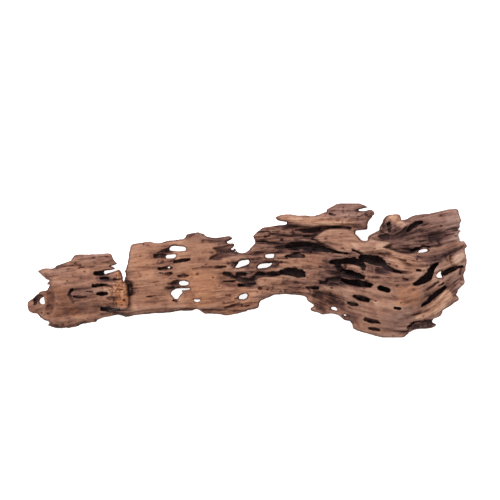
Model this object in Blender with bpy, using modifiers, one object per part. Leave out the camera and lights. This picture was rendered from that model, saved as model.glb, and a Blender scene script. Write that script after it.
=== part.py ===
"""A long, flat piece of driftwood: a root plate worn thin and holed by water and shipworm.

The wood lies flat with its hollow side down.  X runs along the grain from the looped left tip
to the broken right end, Y across it, Z up from the ground.  One solid, grown as one piece.
"""
import math

import bmesh
import bpy
import numpy as np

# Driving dimensions, in metres.
LENGTH = 0.792          # looped left tip to the farthest splinter of the right end
WIDTH = 0.242           # bulge of the bowl to the torn crest opposite
GRID_STEP = 0.006       # spacing of the surface points before thinning
BLEND_RADIUS = 0.019    # reach of each height station
STATION_FLOOR = 1e-9    # weight that keeps far points defined
EDGE_REACH = 0.011      # how far in from the outline the wood thins
EDGE_THINNING = 0.34    # share of the thickness lost on each face at the outline
WEAR_STEP = 0.0022      # grid that rounds every cut edge, as water wears it
KEEP_RATIO = 0.045      # share of the worn surface's triangles kept
PRISM_HALF = 0.12       # half height of the outline prism, well past the wood
TRIM_DEPTH = 0.05       # thickness of the slab that planes the resting pads
MM = LENGTH / 792.0     # the shape lists below are in millimetres at this length

# The outline, clockwise from the spike on the left, one list for each stretch of edge.
LEFT_BLOCK_TOP = [
    (-377, 0), (-368, 3), (-350, 3), (-330, 12), (-315, 17), (-310, 28), (-262, 29), (-248, 30),
    (-241, 18), (-235, 12), (-246, 8), (-239, 4), (-257, 0), (-257, -6), (-242, -4), (-231, 0),
    (-225, -13), (-222, -23),
]
PLANK_TOP = [
    (-218, -20), (-218, 3), (-212, 20), (-210, 40), (-202, 48), (-172, 52), (-160, 49), (-140, 53),
    (-114, 56), (-105, 66), (-88, 68), (-70, 60), (-40, 60), (-30, 61), (-26, 58), (-37, 51),
    (-25, 49), (-26, 41), (-17, 32), (-4, 31), (4, 35), (17, 49),
]
CREST = [
    (15, 56), (11, 61), (25, 74), (40, 79), (71, 81), (71, 89), (51, 96), (72, 101), (98, 97),
    (124, 98), (143, 105), (150, 113), (168, 121), (200, 121), (216, 114), (198, 108), (220, 108),
    (228, 102), (217, 90), (214, 76), (196, 74), (194, 67), (205, 53), (215, 52), (222, 62),
]
KNOT_AND_PANEL = [
    (240, 73), (250, 97), (272, 99), (276, 90), (292, 96), (300, 99), (340, 103), (378, 109),
    (385, 90), (381, 80), (384, 71), (380, 60), (382, 51), (397, 45), (391, 33), (395, 18),
]
BROKEN_END = [
    (390, -3), (391, -22), (374, -37), (373, -43), (378, -50), (352, -68), (350, -78), (332, -88),
    (340, -98), (322, -104), (300, -107), (284, -118), (262, -121),
]
BOWL_RIM = [
    (225, -114), (194, -105), (190, -95), (173, -86), (162, -78), (138, -78), (115, -69),
    (121, -62), (110, -55), (105, -47), (80, -42), (50, -43), (24, -53), (19, -65), (-8, -73),
    (-35, -80), (-75, -77), (-90, -70), (-150, -74), (-219, -82), (-240, -80), (-265, -85),
]
LEFT_BLOCK_FOOT = [
    (-274, -91), (-296, -94), (-318, -101), (-346, -102), (-357, -97), (-358, -90), (-371, -83),
    (-377, -77), (-392, -75), (-396, -66), (-396, -58), (-381, -46), (-369, -39), (-360, -38),
    (-354, -25), (-355, -15), (-369, -8),
]
OUTLINE = (LEFT_BLOCK_TOP + PLANK_TOP + CREST + KNOT_AND_PANEL + BROKEN_END + BOWL_RIM
           + LEFT_BLOCK_FOOT)

# Holes worn right through.
HOLES = {
    "loop_eye": [(-380, -56), (-376, -48), (-368, -45), (-364, -49), (-365, -58), (-371, -60)],
    "upper_slot": [(-141, 40), (-130, 45), (-113, 43), (-110, 37), (-118, 35), (-137, 37)],
    "second_slot": [(-148, 26), (-144, 29), (-127, 30), (-131, 23), (-143, 22)],
    "round_slot": [(-124, -23), (-118, -19), (-107, -20), (-107, -26), (-118, -27)],
    "arrow_slot": [(-138, -40), (-130, -34), (-103, -31), (-118, -37), (-125, -50), (-131, -49)],
    "low_slot": [(-97, -52), (-93, -57), (-87, -57), (-84, -52)],
    "bay_slot": [(-22, 5), (-14, 14), (2, 19), (4, 11), (-14, 4)],
    "neck_upper": [(32, 25), (36, 30), (48, 30), (49, 24), (36, 22)],
    "neck_lower": [(18, 5), (24, 11), (44, 14), (40, 8), (24, 4)],
    "lip_slot": [(-18, -50), (-11, -43), (-1, -43), (-1, -49), (-9, -52)],
    "toe_slot": [(150, -67), (160, -66), (162, -72), (153, -71)],
    "panel_slot": [(303, 32), (318, 40), (326, 37), (314, 32)],
    "fin_window": [(340, -8), (344, -14), (351, -12), (349, -5), (352, 1), (344, -2)],
}

# Height stations (x, y, top, underside).  An underside below zero is planed into a resting pad.
STATIONS = [
    # looped tip, spike and left block
    (-390, -62, 22, 3), (-370, -78, 22, -2), (-364, -42, 26, 5), (-376, 0, 26, 14),
    (-345, -2, 32, 9), (-310, 22, 32, 7), (-278, 22, 34, 5), (-246, 20, 34, 8), (-340, -30, 42, 2),
    (-334, -60, 42, -3), (-300, -38, 46, -3), (-300, -80, 31, -4), (-330, -97, 22, -4),
    (-285, -88, 22, -2), (-255, -42, 48, -3), (-227, -38, 50, -3), (-233, -6, 40, 4),
    (-227, -62, 46, 0), (-252, -78, 25, 0),
    # middle plank
    (-207, -36, 20, 2), (-206, -70, 24, -1), (-205, 25, 27, 4), (-168, 45, 28, 6), (-160, 0, 28, 4),
    (-180, -60, 26, -3), (-124, -66, 24, -4), (-95, 60, 35, 8), (-100, 20, 31, 4),
    (-100, -15, 30, 4), (-65, -40, 33, 1), (-62, 4, 34, 3), (-58, 54, 34, 9), (-45, 32, 27, 5),
    (-35, -77, 22, -4), (-75, -74, 22, -3), (-25, 46, 28, 10), (-5, 25, 34, 8),
    # waist above the bay
    (-2, -22, 24, 2), (2, -62, 33, -2), (34, -45, 33, 2), (40, -20, 44, 4), (22, 22, 38, 8),
    (28, 62, 45, 12), (62, 76, 50, 20), (80, 40, 40, 10), (56, 96, 50, 36), (82, 90, 57, 30),
    (104, 12, 47, 6), (100, -34, 40, 6), (112, -54, 31, 6),
    # torn crest and ridge below it
    (118, 90, 61, 26), (152, 104, 62, 18), (186, 112, 58, 4), (216, 110, 50, 34),
    (185, 92, 65, 16), (208, 80, 56, 14), (150, 82, 60, 20), (118, 70, 42, 16), (150, 62, 60, 12),
    (202, 52, 66, 10), (120, 44, 42, 10),
    # bowl
    (172, 24, 58, 14), (150, -8, 52, 10), (142, -50, 36, 6), (132, -70, 26, 3), (160, -76, 24, 2),
    (185, -84, 29, -6), (196, -40, 70, 22), (206, -76, 56, 14), (228, -103, 38, -10),
    (260, -112, 30, -14), (286, -106, 29, -10), (250, -82, 68, 24), (258, -48, 84, 40),
    (258, -10, 82, 38), (228, 14, 70, 30), (300, -58, 76, 32), (300, -20, 74, 34),
    (304, -98, 29, -2), (334, -98, 24, 6),
    # swept ridge and fins
    (232, 42, 70, 22), (257, 46, 70, 20), (276, 20, 80, 34), (302, 6, 74, 32), (326, -62, 58, 20),
    (358, -46, 56, 22), (374, -48, 42, 26), (350, -72, 40, 12), (336, -84, 32, 10),
    (384, -22, 42, 12), (388, 2, 40, 10), (380, 20, 46, 10), (394, 44, 38, 22), (350, 24, 52, 14),
    (322, 10, 62, 22),
    # knot and flat panel
    (244, 62, 42, 6), (262, 92, 64, 8), (262, 72, 54, 4), (284, 84, 46, 3), (304, 92, 42, 0),
    (342, 96, 42, -9), (374, 100, 38, -11), (374, 78, 40, -9), (340, 78, 42, -4), (300, 60, 44, 4),
    (340, 56, 40, 4), (376, 58, 42, -1), (318, 46, 42, 8),
]

# Shipworm slots (x, y, length, width, turn in degrees, depth), each worn into the top face.
SLOTS = {
    "eye_slot": (-260, -42, 24, 8, 8, 16),
    "long_slot": (-264, -25, 36, 7, 8, 16),
    "foot_slot": (-248, -69, 36, 8, -6, 14),
    "block_pit": (-292, -42, 54, 24, -10, 9),
    "step_pit": (-211, -35, 18, 28, 0, 16),
    "loop_hollow": (-372, -53, 24, 14, 20, 14),
    "plank_slot": (-117, 17, 38, 8, 9, 13),
    "plank_pit": (-148, 1, 28, 12, 0, 14),
    "dark_pit": (-157, 26, 26, 8, 6, 14),
    "round_rim": (-127, -26, 24, 14, 30, 12),
    "tiny_slot": (-115, -10, 18, 6, 3, 10),
    "bay_pit": (-35, -7, 18, 8, 0, 12),
    "centre_oval": (-11, -7, 20, 8, 4, 14),
    "deep_hollow": (-4, -22, 46, 14, 8, 14),
    "great_slot": (62, -3, 94, 11, -3, 22),
    "ridge_slot": (118, 44, 98, 14, -8, 22),
    "upper_slot_b": (86, 26, 38, 9, 3, 14),
    "low_oval": (118, -31, 26, 6, -3, 12),
    "crest_groove": (122, 73, 70, 8, 9, 12),
    "bowl_slot_a": (226, 20, 46, 17, -14, 30),
    "bowl_slot_b": (190, -8, 44, 11, -14, 24),
    "bowl_slot_c": (198, -23, 56, 12, -8, 28),
    "bowl_slot_d": (160, 12, 34, 12, 0, 22),
    "bowl_slot_e": (205, -50, 32, 9, -20, 20),
    "bowl_slot_f": (246, -33, 24, 10, -18, 26),
    "bowl_slot_g": (190, -60, 20, 8, -8, 16),
    "bowl_slot_h": (224, -90, 32, 9, -14, 16),
    "bowl_slot_i": (229, -105, 22, 7, -12, 12),
    "rim_slot": (269, -67, 16, 6, -6, 14),
    "crescent": (316, -14, 48, 14, 40, 30),
    "outer_slot": (372, 2, 42, 8, 18, 18),
    "fin_slot_a": (332, -28, 26, 6, 36, 16),
    "fin_slot_b": (336, -46, 60, 8, 40, 22),
    "panel_slot_b": (301, 80, 30, 11, 32, 16),
    "panel_slot_c": (362, 73, 19, 7, 13, 12),
    "knot_hollow": (256, 78, 10, 20, 0, 16),
    "flank_hollow": (139, -50, 40, 24, -20, 10),
}
SLOT_SEGMENTS = 12      # sides of a slot's round section
SLOT_RINGS = 8          # rings along a slot

WOOD_COLOUR = (0.235, 0.117, 0.086, 1.0)
WOOD_ROUGHNESS = 0.85


def clear_scene():
    """Start from nothing."""
    for old in list(bpy.data.objects):
        bpy.data.objects.remove(old, do_unlink=True)


def new_collection(name):
    """A collection in the scene."""
    group = bpy.data.collections.new(name)
    bpy.context.scene.collection.children.link(group)
    return group


def smooth_heights(x, y):
    """Top and underside at points x, y in millimetres: a weighted mean of the stations."""
    stations = np.array(STATIONS, dtype=float)
    radius = BLEND_RADIUS / MM
    away = (x[:, None] - stations[None, :, 0]) ** 2 + (y[:, None] - stations[None, :, 1]) ** 2
    weight = np.exp(-away / (2.0 * radius ** 2)) + STATION_FLOOR / (1.0 + away)
    weight /= weight.sum(axis=1, keepdims=True)
    return weight @ stations[:, 2], weight @ stations[:, 3]


def distance_to_outline(x, y):
    """Plan distance from each point to the nearest stretch of outline, in millimetres."""
    nearest = np.full(len(x), LENGTH / MM)
    corners = np.array(OUTLINE, dtype=float)
    for start, end in zip(corners, np.roll(corners, -1, axis=0)):
        run = end - start
        along = ((x - start[0]) * run[0] + (y - start[1]) * run[1]) / (run @ run)
        along = np.clip(along, 0.0, 1.0)
        gap = np.hypot(x - start[0] - along * run[0], y - start[1] - along * run[1])
        nearest = np.minimum(nearest, gap)
    return nearest


def worn_heights(x, y):
    """The station heights, thinned from both faces towards the outline."""
    top, under = smooth_heights(x, y)
    lost = EDGE_THINNING * np.exp(-distance_to_outline(x, y) * MM / EDGE_REACH)
    thickness = top - under
    return top - lost * thickness, under + lost * thickness


def relief_block():
    """A rectangular slab whose top and underside follow the height stations."""
    half_x = LENGTH / 2 + GRID_STEP
    half_y = WIDTH / 2 + GRID_STEP
    shape = bmesh.new()
    bmesh.ops.create_grid(shape, x_segments=round(2 * half_x / GRID_STEP),
                          y_segments=round(2 * half_y / GRID_STEP), size=1.0)
    for vert in shape.verts:
        vert.co.x *= half_x
        vert.co.y *= half_y
    lifted = bmesh.ops.extrude_face_region(shape, geom=list(shape.faces))
    upper = [item for item in lifted["geom"] if isinstance(item, bmesh.types.BMVert)]
    for vert in upper:
        vert.co.z = 1.0
    shape.verts.ensure_lookup_table()
    places = np.array([vert.co for vert in shape.verts])
    top, under = worn_heights(places[:, 0] / MM, places[:, 1] / MM)
    for vert, high, low in zip(shape.verts, top, under):
        vert.co.z = (high if vert.co.z > 0.5 else low) * MM
    bmesh.ops.recalc_face_normals(shape, faces=shape.faces)
    mesh = bpy.data.meshes.new("driftwood")
    shape.to_mesh(mesh)
    shape.free()
    return bpy.data.objects.new("driftwood", mesh)


def outline_prism(cutters):
    """The plan outline with its worn-through holes, as a tall prism."""
    flat = bpy.data.curves.new("outline", "CURVE")
    flat.dimensions = "2D"
    flat.fill_mode = "BOTH"
    flat.extrude = PRISM_HALF
    for loop in [OUTLINE] + list(HOLES.values()):
        spline = flat.splines.new("POLY")
        spline.points.add(len(loop) - 1)
        for point, (x, y) in zip(spline.points, loop):
            point.co = (x * MM, y * MM, 0.0, 1.0)
        spline.use_cyclic_u = True
    return curve_to_cutter("outline_prism", flat, cutters)


def curve_to_cutter(name, flat, cutters):
    """Turn a filled curve into a closed mesh cutter."""
    guide = bpy.data.objects.new(name + "_curve", flat)
    cutters.objects.link(guide)
    bpy.context.view_layer.update()
    settled = guide.evaluated_get(bpy.context.evaluated_depsgraph_get())
    mesh = bpy.data.meshes.new_from_object(settled)
    welded = bmesh.new()
    welded.from_mesh(mesh)
    bmesh.ops.remove_doubles(welded, verts=welded.verts, dist=1e-6)
    bmesh.ops.recalc_face_normals(welded, faces=welded.faces)
    welded.to_mesh(mesh)
    welded.free()
    bpy.data.objects.remove(guide, do_unlink=True)
    return add_cutter(name, mesh, cutters)


def add_cutter(name, mesh, cutters):
    """Keep a cutter out of the finished object."""
    cutter = bpy.data.objects.new(name, mesh)
    cutter.hide_render = True
    cutter.display_type = "WIRE"
    cutters.objects.link(cutter)
    return cutter


def slot_cutter(name, slot, cutters):
    """A long ellipsoid sunk into the top face to the slot's depth."""
    x, y, length, width, turn, depth = slot
    top = smooth_heights(np.array([float(x)]), np.array([float(y)]))[0][0]
    shape = bmesh.new()
    bmesh.ops.create_uvsphere(shape, u_segments=SLOT_SEGMENTS, v_segments=SLOT_RINGS, radius=1.0)
    for vert in shape.verts:
        along, across, up = vert.co.z, vert.co.x, vert.co.y
        vert.co = (along * length / 2 * MM, across * width / 2 * MM, up * depth * MM)
    mesh = bpy.data.meshes.new(name)
    shape.to_mesh(mesh)
    shape.free()
    cutter = add_cutter(name, mesh, cutters)
    cutter.location = (x * MM, y * MM, top * MM)
    cutter.rotation_euler = (0.0, 0.0, math.radians(turn))
    return cutter


def floor_cutter(cutters):
    """A slab whose upper face planes the resting pads."""
    shape = bmesh.new()
    bmesh.ops.create_cube(shape, size=1.0)
    for vert in shape.verts:
        vert.co.x *= LENGTH * 1.2
        vert.co.y *= WIDTH * 1.4
        vert.co.z = (vert.co.z - 0.5) * TRIM_DEPTH
    mesh = bpy.data.meshes.new("floor_slab")
    shape.to_mesh(mesh)
    shape.free()
    return add_cutter("floor_slab", mesh, cutters)


def boolean(part, cutter, operation):
    """Add one Boolean to the stack."""
    step = part.modifiers.new(cutter.name, "BOOLEAN")
    step.operation = operation
    step.solver = "EXACT"
    step.object = cutter


def wood_material():
    """Matt grey-brown weathered wood."""
    material = bpy.data.materials.new("weathered_wood")
    material.use_nodes = True
    shader = material.node_tree.nodes["Principled BSDF"]
    shader.inputs["Base Color"].default_value = WOOD_COLOUR
    shader.inputs["Roughness"].default_value = WOOD_ROUGHNESS
    shader.inputs["Metallic"].default_value = 0.0
    return material


def build():
    """The whole piece."""
    clear_scene()
    parts = new_collection("piece_of_driftwood")
    cutters = new_collection("cutters")
    wood = relief_block()
    wood.data.materials.append(wood_material())
    parts.objects.link(wood)
    boolean(wood, outline_prism(cutters), "INTERSECT")
    for name, slot in SLOTS.items():
        boolean(wood, slot_cutter(name, slot, cutters), "DIFFERENCE")
    worn = wood.modifiers.new("wear", "REMESH")
    worn.mode = "VOXEL"
    worn.voxel_size = WEAR_STEP
    thin = wood.modifiers.new("thin_out", "DECIMATE")
    thin.ratio = KEEP_RATIO
    boolean(wood, floor_cutter(cutters), "DIFFERENCE")


build()
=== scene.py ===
"""The finished look of the driftwood: its worn surface as fine geometry, and its weathered wood.

Plan positions, widths and heights in the shape lists are millimetres in the frame of the CAD model.
The surface is the zero level of a distance-like field: a relief between a top and an underside,
bounded by the outline, with shipworm slots carved out of it.
"""
import math
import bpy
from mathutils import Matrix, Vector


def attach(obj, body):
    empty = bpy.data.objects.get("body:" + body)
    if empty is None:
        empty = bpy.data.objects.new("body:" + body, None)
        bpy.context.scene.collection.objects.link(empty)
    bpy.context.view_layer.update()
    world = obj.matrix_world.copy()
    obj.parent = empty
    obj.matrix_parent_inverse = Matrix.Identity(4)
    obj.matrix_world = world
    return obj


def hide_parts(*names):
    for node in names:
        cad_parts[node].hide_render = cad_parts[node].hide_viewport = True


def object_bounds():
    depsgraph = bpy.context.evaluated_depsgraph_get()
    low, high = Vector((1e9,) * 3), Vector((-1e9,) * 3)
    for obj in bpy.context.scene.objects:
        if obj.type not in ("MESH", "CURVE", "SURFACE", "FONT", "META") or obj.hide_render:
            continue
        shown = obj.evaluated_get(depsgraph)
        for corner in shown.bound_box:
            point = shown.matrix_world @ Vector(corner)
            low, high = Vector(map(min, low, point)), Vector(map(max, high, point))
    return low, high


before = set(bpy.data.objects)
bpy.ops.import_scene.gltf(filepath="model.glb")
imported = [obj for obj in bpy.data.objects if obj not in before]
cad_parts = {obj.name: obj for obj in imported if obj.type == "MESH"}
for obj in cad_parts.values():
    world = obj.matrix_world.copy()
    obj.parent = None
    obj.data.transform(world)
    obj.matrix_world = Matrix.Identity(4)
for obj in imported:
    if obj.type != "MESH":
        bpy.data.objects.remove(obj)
from types import SimpleNamespace

import bpy
import numpy as np

CAD_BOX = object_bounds()
NODE = "driftwood"
MM = 0.001

VOXEL = 1.15      # grid spacing of the field
MARGIN = 5.0                            # room round the wood inside the grid
EDGE_GROWTH = 0.9                       # makes up for the rounding of the outline's edge
SEED = 20
FAR = 1e9                               # start value of the distance searches

# ---------------------------------------------------------------- outline and holes
LEFT_BLOCK_TOP = [
    (-377, -1), (-370, 2.5), (-363, 3), (-349, 2.5), (-340, 9), (-329, 13), (-316, 17), (-315, 21),
    (-310, 27), (-306, 28), (-264, 29), (-251, 30.7), (-246, 29.6), (-243.5, 27), (-241, 19),
    (-238, 15), (-234.5, 12.6), (-242, 10), (-246, 9), (-247, 6.7), (-242.6, 5.8), (-238, 3.6),
    (-246, 1.6), (-253, 1), (-257, -0.4), (-257, -4.5), (-255, -6.7), (-250, -6.3), (-243, -4.5),
    (-233, -1), (-231, 0), (-229, -2), (-226, -8), (-224, -18), (-223, -23), (-220.6, -23.3),
]
PLANK_TOP = [
    (-219, -19), (-217.6, -10), (-218, -1), (-215, 9), (-213, 20), (-211.5, 32), (-208.6, 43),
    (-206, 46), (-201, 48), (-190, 49.6), (-183, 51), (-174, 52), (-166, 49.4), (-157, 49),
    (-150, 50.5), (-145, 52.6), (-124, 55), (-114, 56), (-111, 59), (-107.6, 64.4), (-103, 65.7),
    (-99, 67), (-87, 68.3), (-85.5, 66.8), (-79, 65.3), (-72, 60.6), (-66, 58.6), (-57, 58),
    (-48, 58.8), (-34, 61.7), (-29, 61), (-25.5, 58), (-28, 56), (-33, 54), (-37, 52), (-37, 50),
    (-33, 48.3), (-25, 49), (-23, 47), (-23.5, 44), (-27, 42), (-25.5, 39.6), (-21, 38),
    (-20, 34.5), (-17, 32), (-13, 30.7), (-7, 30.7), (-1.5, 32), (4, 35.5), (8, 41), (12, 45),
    (15, 48), (16.5, 49.4),
]
CREST = [
    (15, 52), (13, 56.5), (11, 61), (13, 64), (17, 68.5), (25, 74), (30, 77), (40, 78.6),
    (51, 80), (61, 81), (71, 82), (73, 87.6), (71, 88.3), (63.5, 89), (57, 90.7), (53, 93),
    (51, 95.5), (55, 97.4), (62, 99.5), (72, 101), (79, 100.8), (89, 98.7), (101, 97.6),
    (116, 97.6), (125, 98.4), (138, 103), (144, 105), (143.6, 108), (147, 111.5), (153.6, 114.7),
    (161, 118), (168, 120), (182, 120.5), (192, 120), (200, 121), (206, 119), (211, 116.7),
    (216.4, 114), (205, 111.5), (198.5, 109.6), (197, 108), (200, 106.8), (210, 106), (218, 107.7),
    (223.5, 108), (228, 105), (229, 101), (225.4, 100), (223, 95.5), (218, 91), (216, 86.5),
    (215.4, 80), (214.5, 75), (209, 74), (196, 73), (193, 70.5), (193.6, 65.4), (197, 61.5),
    (201, 57), (205, 52.6), (211, 51.7), (216.4, 53), (219, 55), (218.7, 58), (221.5, 61.5),
    (226, 64), (234, 68.5), (239, 71),
]
KNOT_AND_PANEL = [
    (239.6, 77), (242, 81), (245, 85.6), (247, 92), (249.7, 96.5), (255, 98.7), (262, 99.5),
    (272, 100), (275, 98), (276.6, 93.7), (276, 89.8), (280, 90), (285.6, 91), (290, 92),
    (292, 94), (297, 96.5), (301, 98), (309, 99.3), (326, 101.3), (337, 103), (348, 105.5),
    (362, 109.6), (376.4, 110), (379, 108), (380.4, 99.3), (383, 95.4), (385, 90), (381, 82.5),
    (382.4, 78.5), (380, 76), (380, 73), (383.4, 71.5), (379, 67), (380.4, 61), (382.6, 50.5),
    (387.7, 52), (390.5, 52.7), (392, 50), (395.5, 44.3), (393, 42), (390, 40), (391.6, 33),
    (392.7, 27.5), (395, 21), (394.6, 15), (392, 4.5), (393, 1.7),
]
BROKEN_END = [
    (390.5, -2.8), (388, -7.3), (389, -13), (391, -19.6), (390, -24), (379, -33), (374, -38),
    (377.6, -38.3), (376, -41), (373, -44.5), (373.6, -46.2), (378, -46.2), (380, -49.6),
    (379, -53), (373, -56), (366, -62), (353, -70), (350.6, -70.6), (350.4, -75.4), (348, -81),
    (343, -84), (336, -86.6), (332, -90.5), (333, -94), (336, -96), (340, -97), (338, -100),
    (333, -103), (324, -104.5), (312.5, -104.7), (303.5, -106), (298, -108.4), (291, -112),
    (283, -118.5), (279, -120.5),
]
BOWL_RIM = [
    (259, -120.7), (247, -119.7), (236, -117.4), (219, -113), (201, -107.5), (193, -105),
    (191, -102), (190.6, -96), (189, -93), (186, -90.4), (177, -89), (165.5, -80), (159, -78),
    (150, -76.7), (140, -78.3), (134, -78), (129, -75.6), (117, -72), (115, -69.4), (117, -67.6),
    (120, -65), (121, -62.6), (119, -60.4), (110, -54.6), (108.5, -51.4), (108, -48.7),
    (103.6, -46.4), (93, -44), (82.5, -42.8), (69, -41.5), (51, -42.5), (35, -48.6), (24, -53.6),
    (21.6, -57.5), (21, -62.4), (19, -66.5), (14, -69), (-4.5, -72.6), (-18, -77.6), (-33, -80.8),
    (-43.5, -79.8), (-64, -77), (-75, -77.8), (-80, -75), (-85.5, -71), (-92, -69.4), (-99, -72.3),
    (-119, -72.2), (-151, -75.7), (-193, -79.2), (-218, -83.5), (-232, -79), (-242.6, -80.8),
]
LEFT_BLOCK_FOOT = [
    (-259.6, -84.4), (-269.5, -88.8), (-273, -92), (-298, -95.6), (-304, -99), (-321, -102.6),
    (-332, -103.7), (-344, -103), (-357.4, -98), (-356, -94), (-357, -90.5), (-365, -88),
    (-370, -84.5), (-374, -80), (-378, -77), (-383, -76.6), (-390, -76), (-393, -73), (-395.5, -64),
    (-395, -58), (-392, -55), (-386, -51), (-379, -44), (-372, -39), (-359, -37), (-358, -34),
    (-355, -30), (-354, -25), (-358, -24), (-357, -22), (-354, -20), (-356, -16), (-363, -14),
    (-372, -5),
]
OUTLINE = (LEFT_BLOCK_TOP + PLANK_TOP + CREST + KNOT_AND_PANEL + BROKEN_END + BOWL_RIM
           + LEFT_BLOCK_FOOT)
HOLES = [
    [(-366, -47.5), (-371, -50), (-374, -54), (-373, -59.5), (-368, -61), (-364, -59.5), (-364.5, -53)],
    [(-140, 38.5), (-137, 43), (-130, 45), (-120, 43.5), (-113, 43), (-109, 39.6), (-110, 35),
     (-124, 34.5), (-137, 36)],
    [(-147, 25), (-144.6, 28), (-135, 29), (-126.6, 28.5), (-128, 25), (-132, 21.5), (-145, 22)],
    [(-143.5, 5.7), (-140.6, 7.6), (-137.5, 5.7), (-140.6, 4)],
    [(-124, -23), (-121, -19), (-112, -18), (-105.5, -20.5), (-105.5, -25), (-110, -27.5),
     (-119, -27.5)],
    [(-138.5, -41), (-134, -36), (-128, -33), (-119, -32), (-109, -31.6), (-103, -31), (-102, -34.5),
     (-109, -35.7), (-117, -36), (-115.5, -41), (-120, -44), (-125, -51.5), (-131, -50.5)],
    [(-128, -56.3), (-126.6, -54.8), (-125, -56.3), (-126.6, -58)],
    [(-97.5, -52), (-83.5, -52), (-85, -56), (-90, -57.6), (-95.5, -56)],
    [(-16, -49), (-13, -44), (-6.6, -41.5), (0, -41.5), (2, -45), (-0.4, -50), (-6.6, -52.5),
     (-14, -52.5)],
    [(-23, 5), (-19, 9.4), (-15, 15.5), (-8.6, 18.5), (3, 20), (5, 16.6), (3, 11), (-2.5, 8.5),
     (-10, 6.3), (-16, 4)],
    [(31.5, 26), (33, 29.3), (38, 30.2), (48, 30.8), (50, 28), (49, 24), (46.5, 22), (37, 21.5),
     (33, 23)],
    [(18, 5), (20, 9.5), (24, 12), (35, 13.5), (45, 14), (46, 12), (42, 7.5), (35, 4.5), (26, 3.5),
     (19.6, 3)],
    [(150, -67), (154, -65.5), (159, -65.5), (163, -70), (162.4, -72.5), (157, -71.5), (153, -70.5)],
    [(172.5, -80), (176, -78.6), (180, -80.5), (176.5, -82)],
    [(350.6, 0.5), (344, -2), (340, -7), (339.7, -12), (344, -14.3), (350, -14), (352, -11),
     (348.4, -6.4)],
    [(303, 31.2), (310, 36.5), (318, 40), (324, 39.3), (327, 36), (322.6, 33), (314.7, 31.4)],
]

# ---------------------------------------------------------------- heights
# (x, y, top, underside). Stations inside a zone shape only that zone, and the rest shape the body.
STATIONS = [
    (-390, -62, 22, 3), (-370, -78, 22, -2), (-364, -42, 26, 5), (-376, 0, 26, 14),
    (-345, -2, 31, 9), (-310, 22, 30, 7), (-278, 22, 33, 5), (-246, 20, 33, 8), (-340, -30, 41, 2),
    (-334, -60, 42, -3), (-300, -38, 46, -3), (-300, -80, 31, -4), (-330, -97, 22, -4),
    (-285, -88, 22, -2), (-255, -42, 48, -3), (-227, -38, 49, -3), (-233, -6, 42, 4),
    (-227, -60, 47, 0), (-245, -77, 24, 0),
    (-207, -36, 20, 2), (-206, -70, 22, -1), (-205, 25, 27, 4), (-168, 45, 28, 6), (-160, 0, 29, 4),
    (-180, -60, 26, -3), (-124, -66, 24, -4), (-95, 60, 35, 8), (-100, 20, 31, 4),
    (-100, -15, 31, 4), (-65, -40, 33, 1), (-62, 4, 34, 3), (-58, 54, 34, 9), (-45, 32, 31, 5),
    (-35, -77, 20, -4), (-75, -74, 20, -3), (-25, 46, 30, 10), (-5, 25, 35, 8),
    (-2, -22, 30, 2), (2, -62, 31, -2), (34, -45, 33, 2), (40, -20, 44, 4), (22, 22, 38, 8),
    (28, 62, 45, 12), (62, 76, 46, 20), (80, 40, 42, 10),
    (104, 12, 47, 6), (100, -34, 40, 6), (112, -54, 31, 6), (110, 66, 42, 14), (120, 46, 42, 10),
    (56, 96, 50, 36), (82, 90, 57, 30), (118, 90, 61, 26), (152, 104, 62, 18), (186, 112, 58, 4),
    (216, 110, 50, 34), (185, 92, 64, 16), (208, 82, 56, 14), (150, 84, 60, 20),
    (150, 62, 58, 12), (202, 52, 64, 10), (178, 45, 62, 10), (172, 66, 60, 12),
    (172, 24, 58, 14), (150, -8, 52, 10), (142, -50, 36, 6), (132, -70, 26, 3), (160, -76, 24, 2),
    (185, -84, 29, -6), (196, -40, 70, 22), (206, -76, 56, 14), (228, -103, 38, -10),
    (260, -112, 30, -14), (286, -106, 29, -10), (250, -82, 68, 24), (258, -48, 82, 40),
    (258, -10, 80, 38), (228, 14, 70, 30), (300, -58, 76, 32), (300, -20, 74, 34),
    (304, -98, 26, -2), (334, -98, 22, 6),
    (232, 42, 70, 22), (257, 44, 70, 20), (276, 20, 78, 34), (302, 6, 74, 32), (326, -62, 58, 20),
    (358, -46, 56, 22), (374, -48, 42, 26), (350, -72, 40, 12), (336, -84, 32, 10),
    (384, -22, 42, 12), (388, 2, 40, 10), (380, 20, 46, 10), (394, 44, 38, 22), (350, 24, 54, 14),
    (322, 10, 62, 22),
    (262, 92, 64, 8), (262, 76, 52, 4), (272, 82, 54, 4),
    (244, 60, 50, 6), (226, 61, 48, 8), (288, 82, 44, 3), (304, 92, 43, 0), (342, 96, 42, -9),
    (374, 100, 38, -11),
    (374, 78, 40, -9), (340, 78, 43, -4), (300, 60, 42, 4), (340, 58, 38, 4), (376, 58, 40, -1),
    (270, 48, 50, 8),
]
STATION_RADIUS = 17.0
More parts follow.
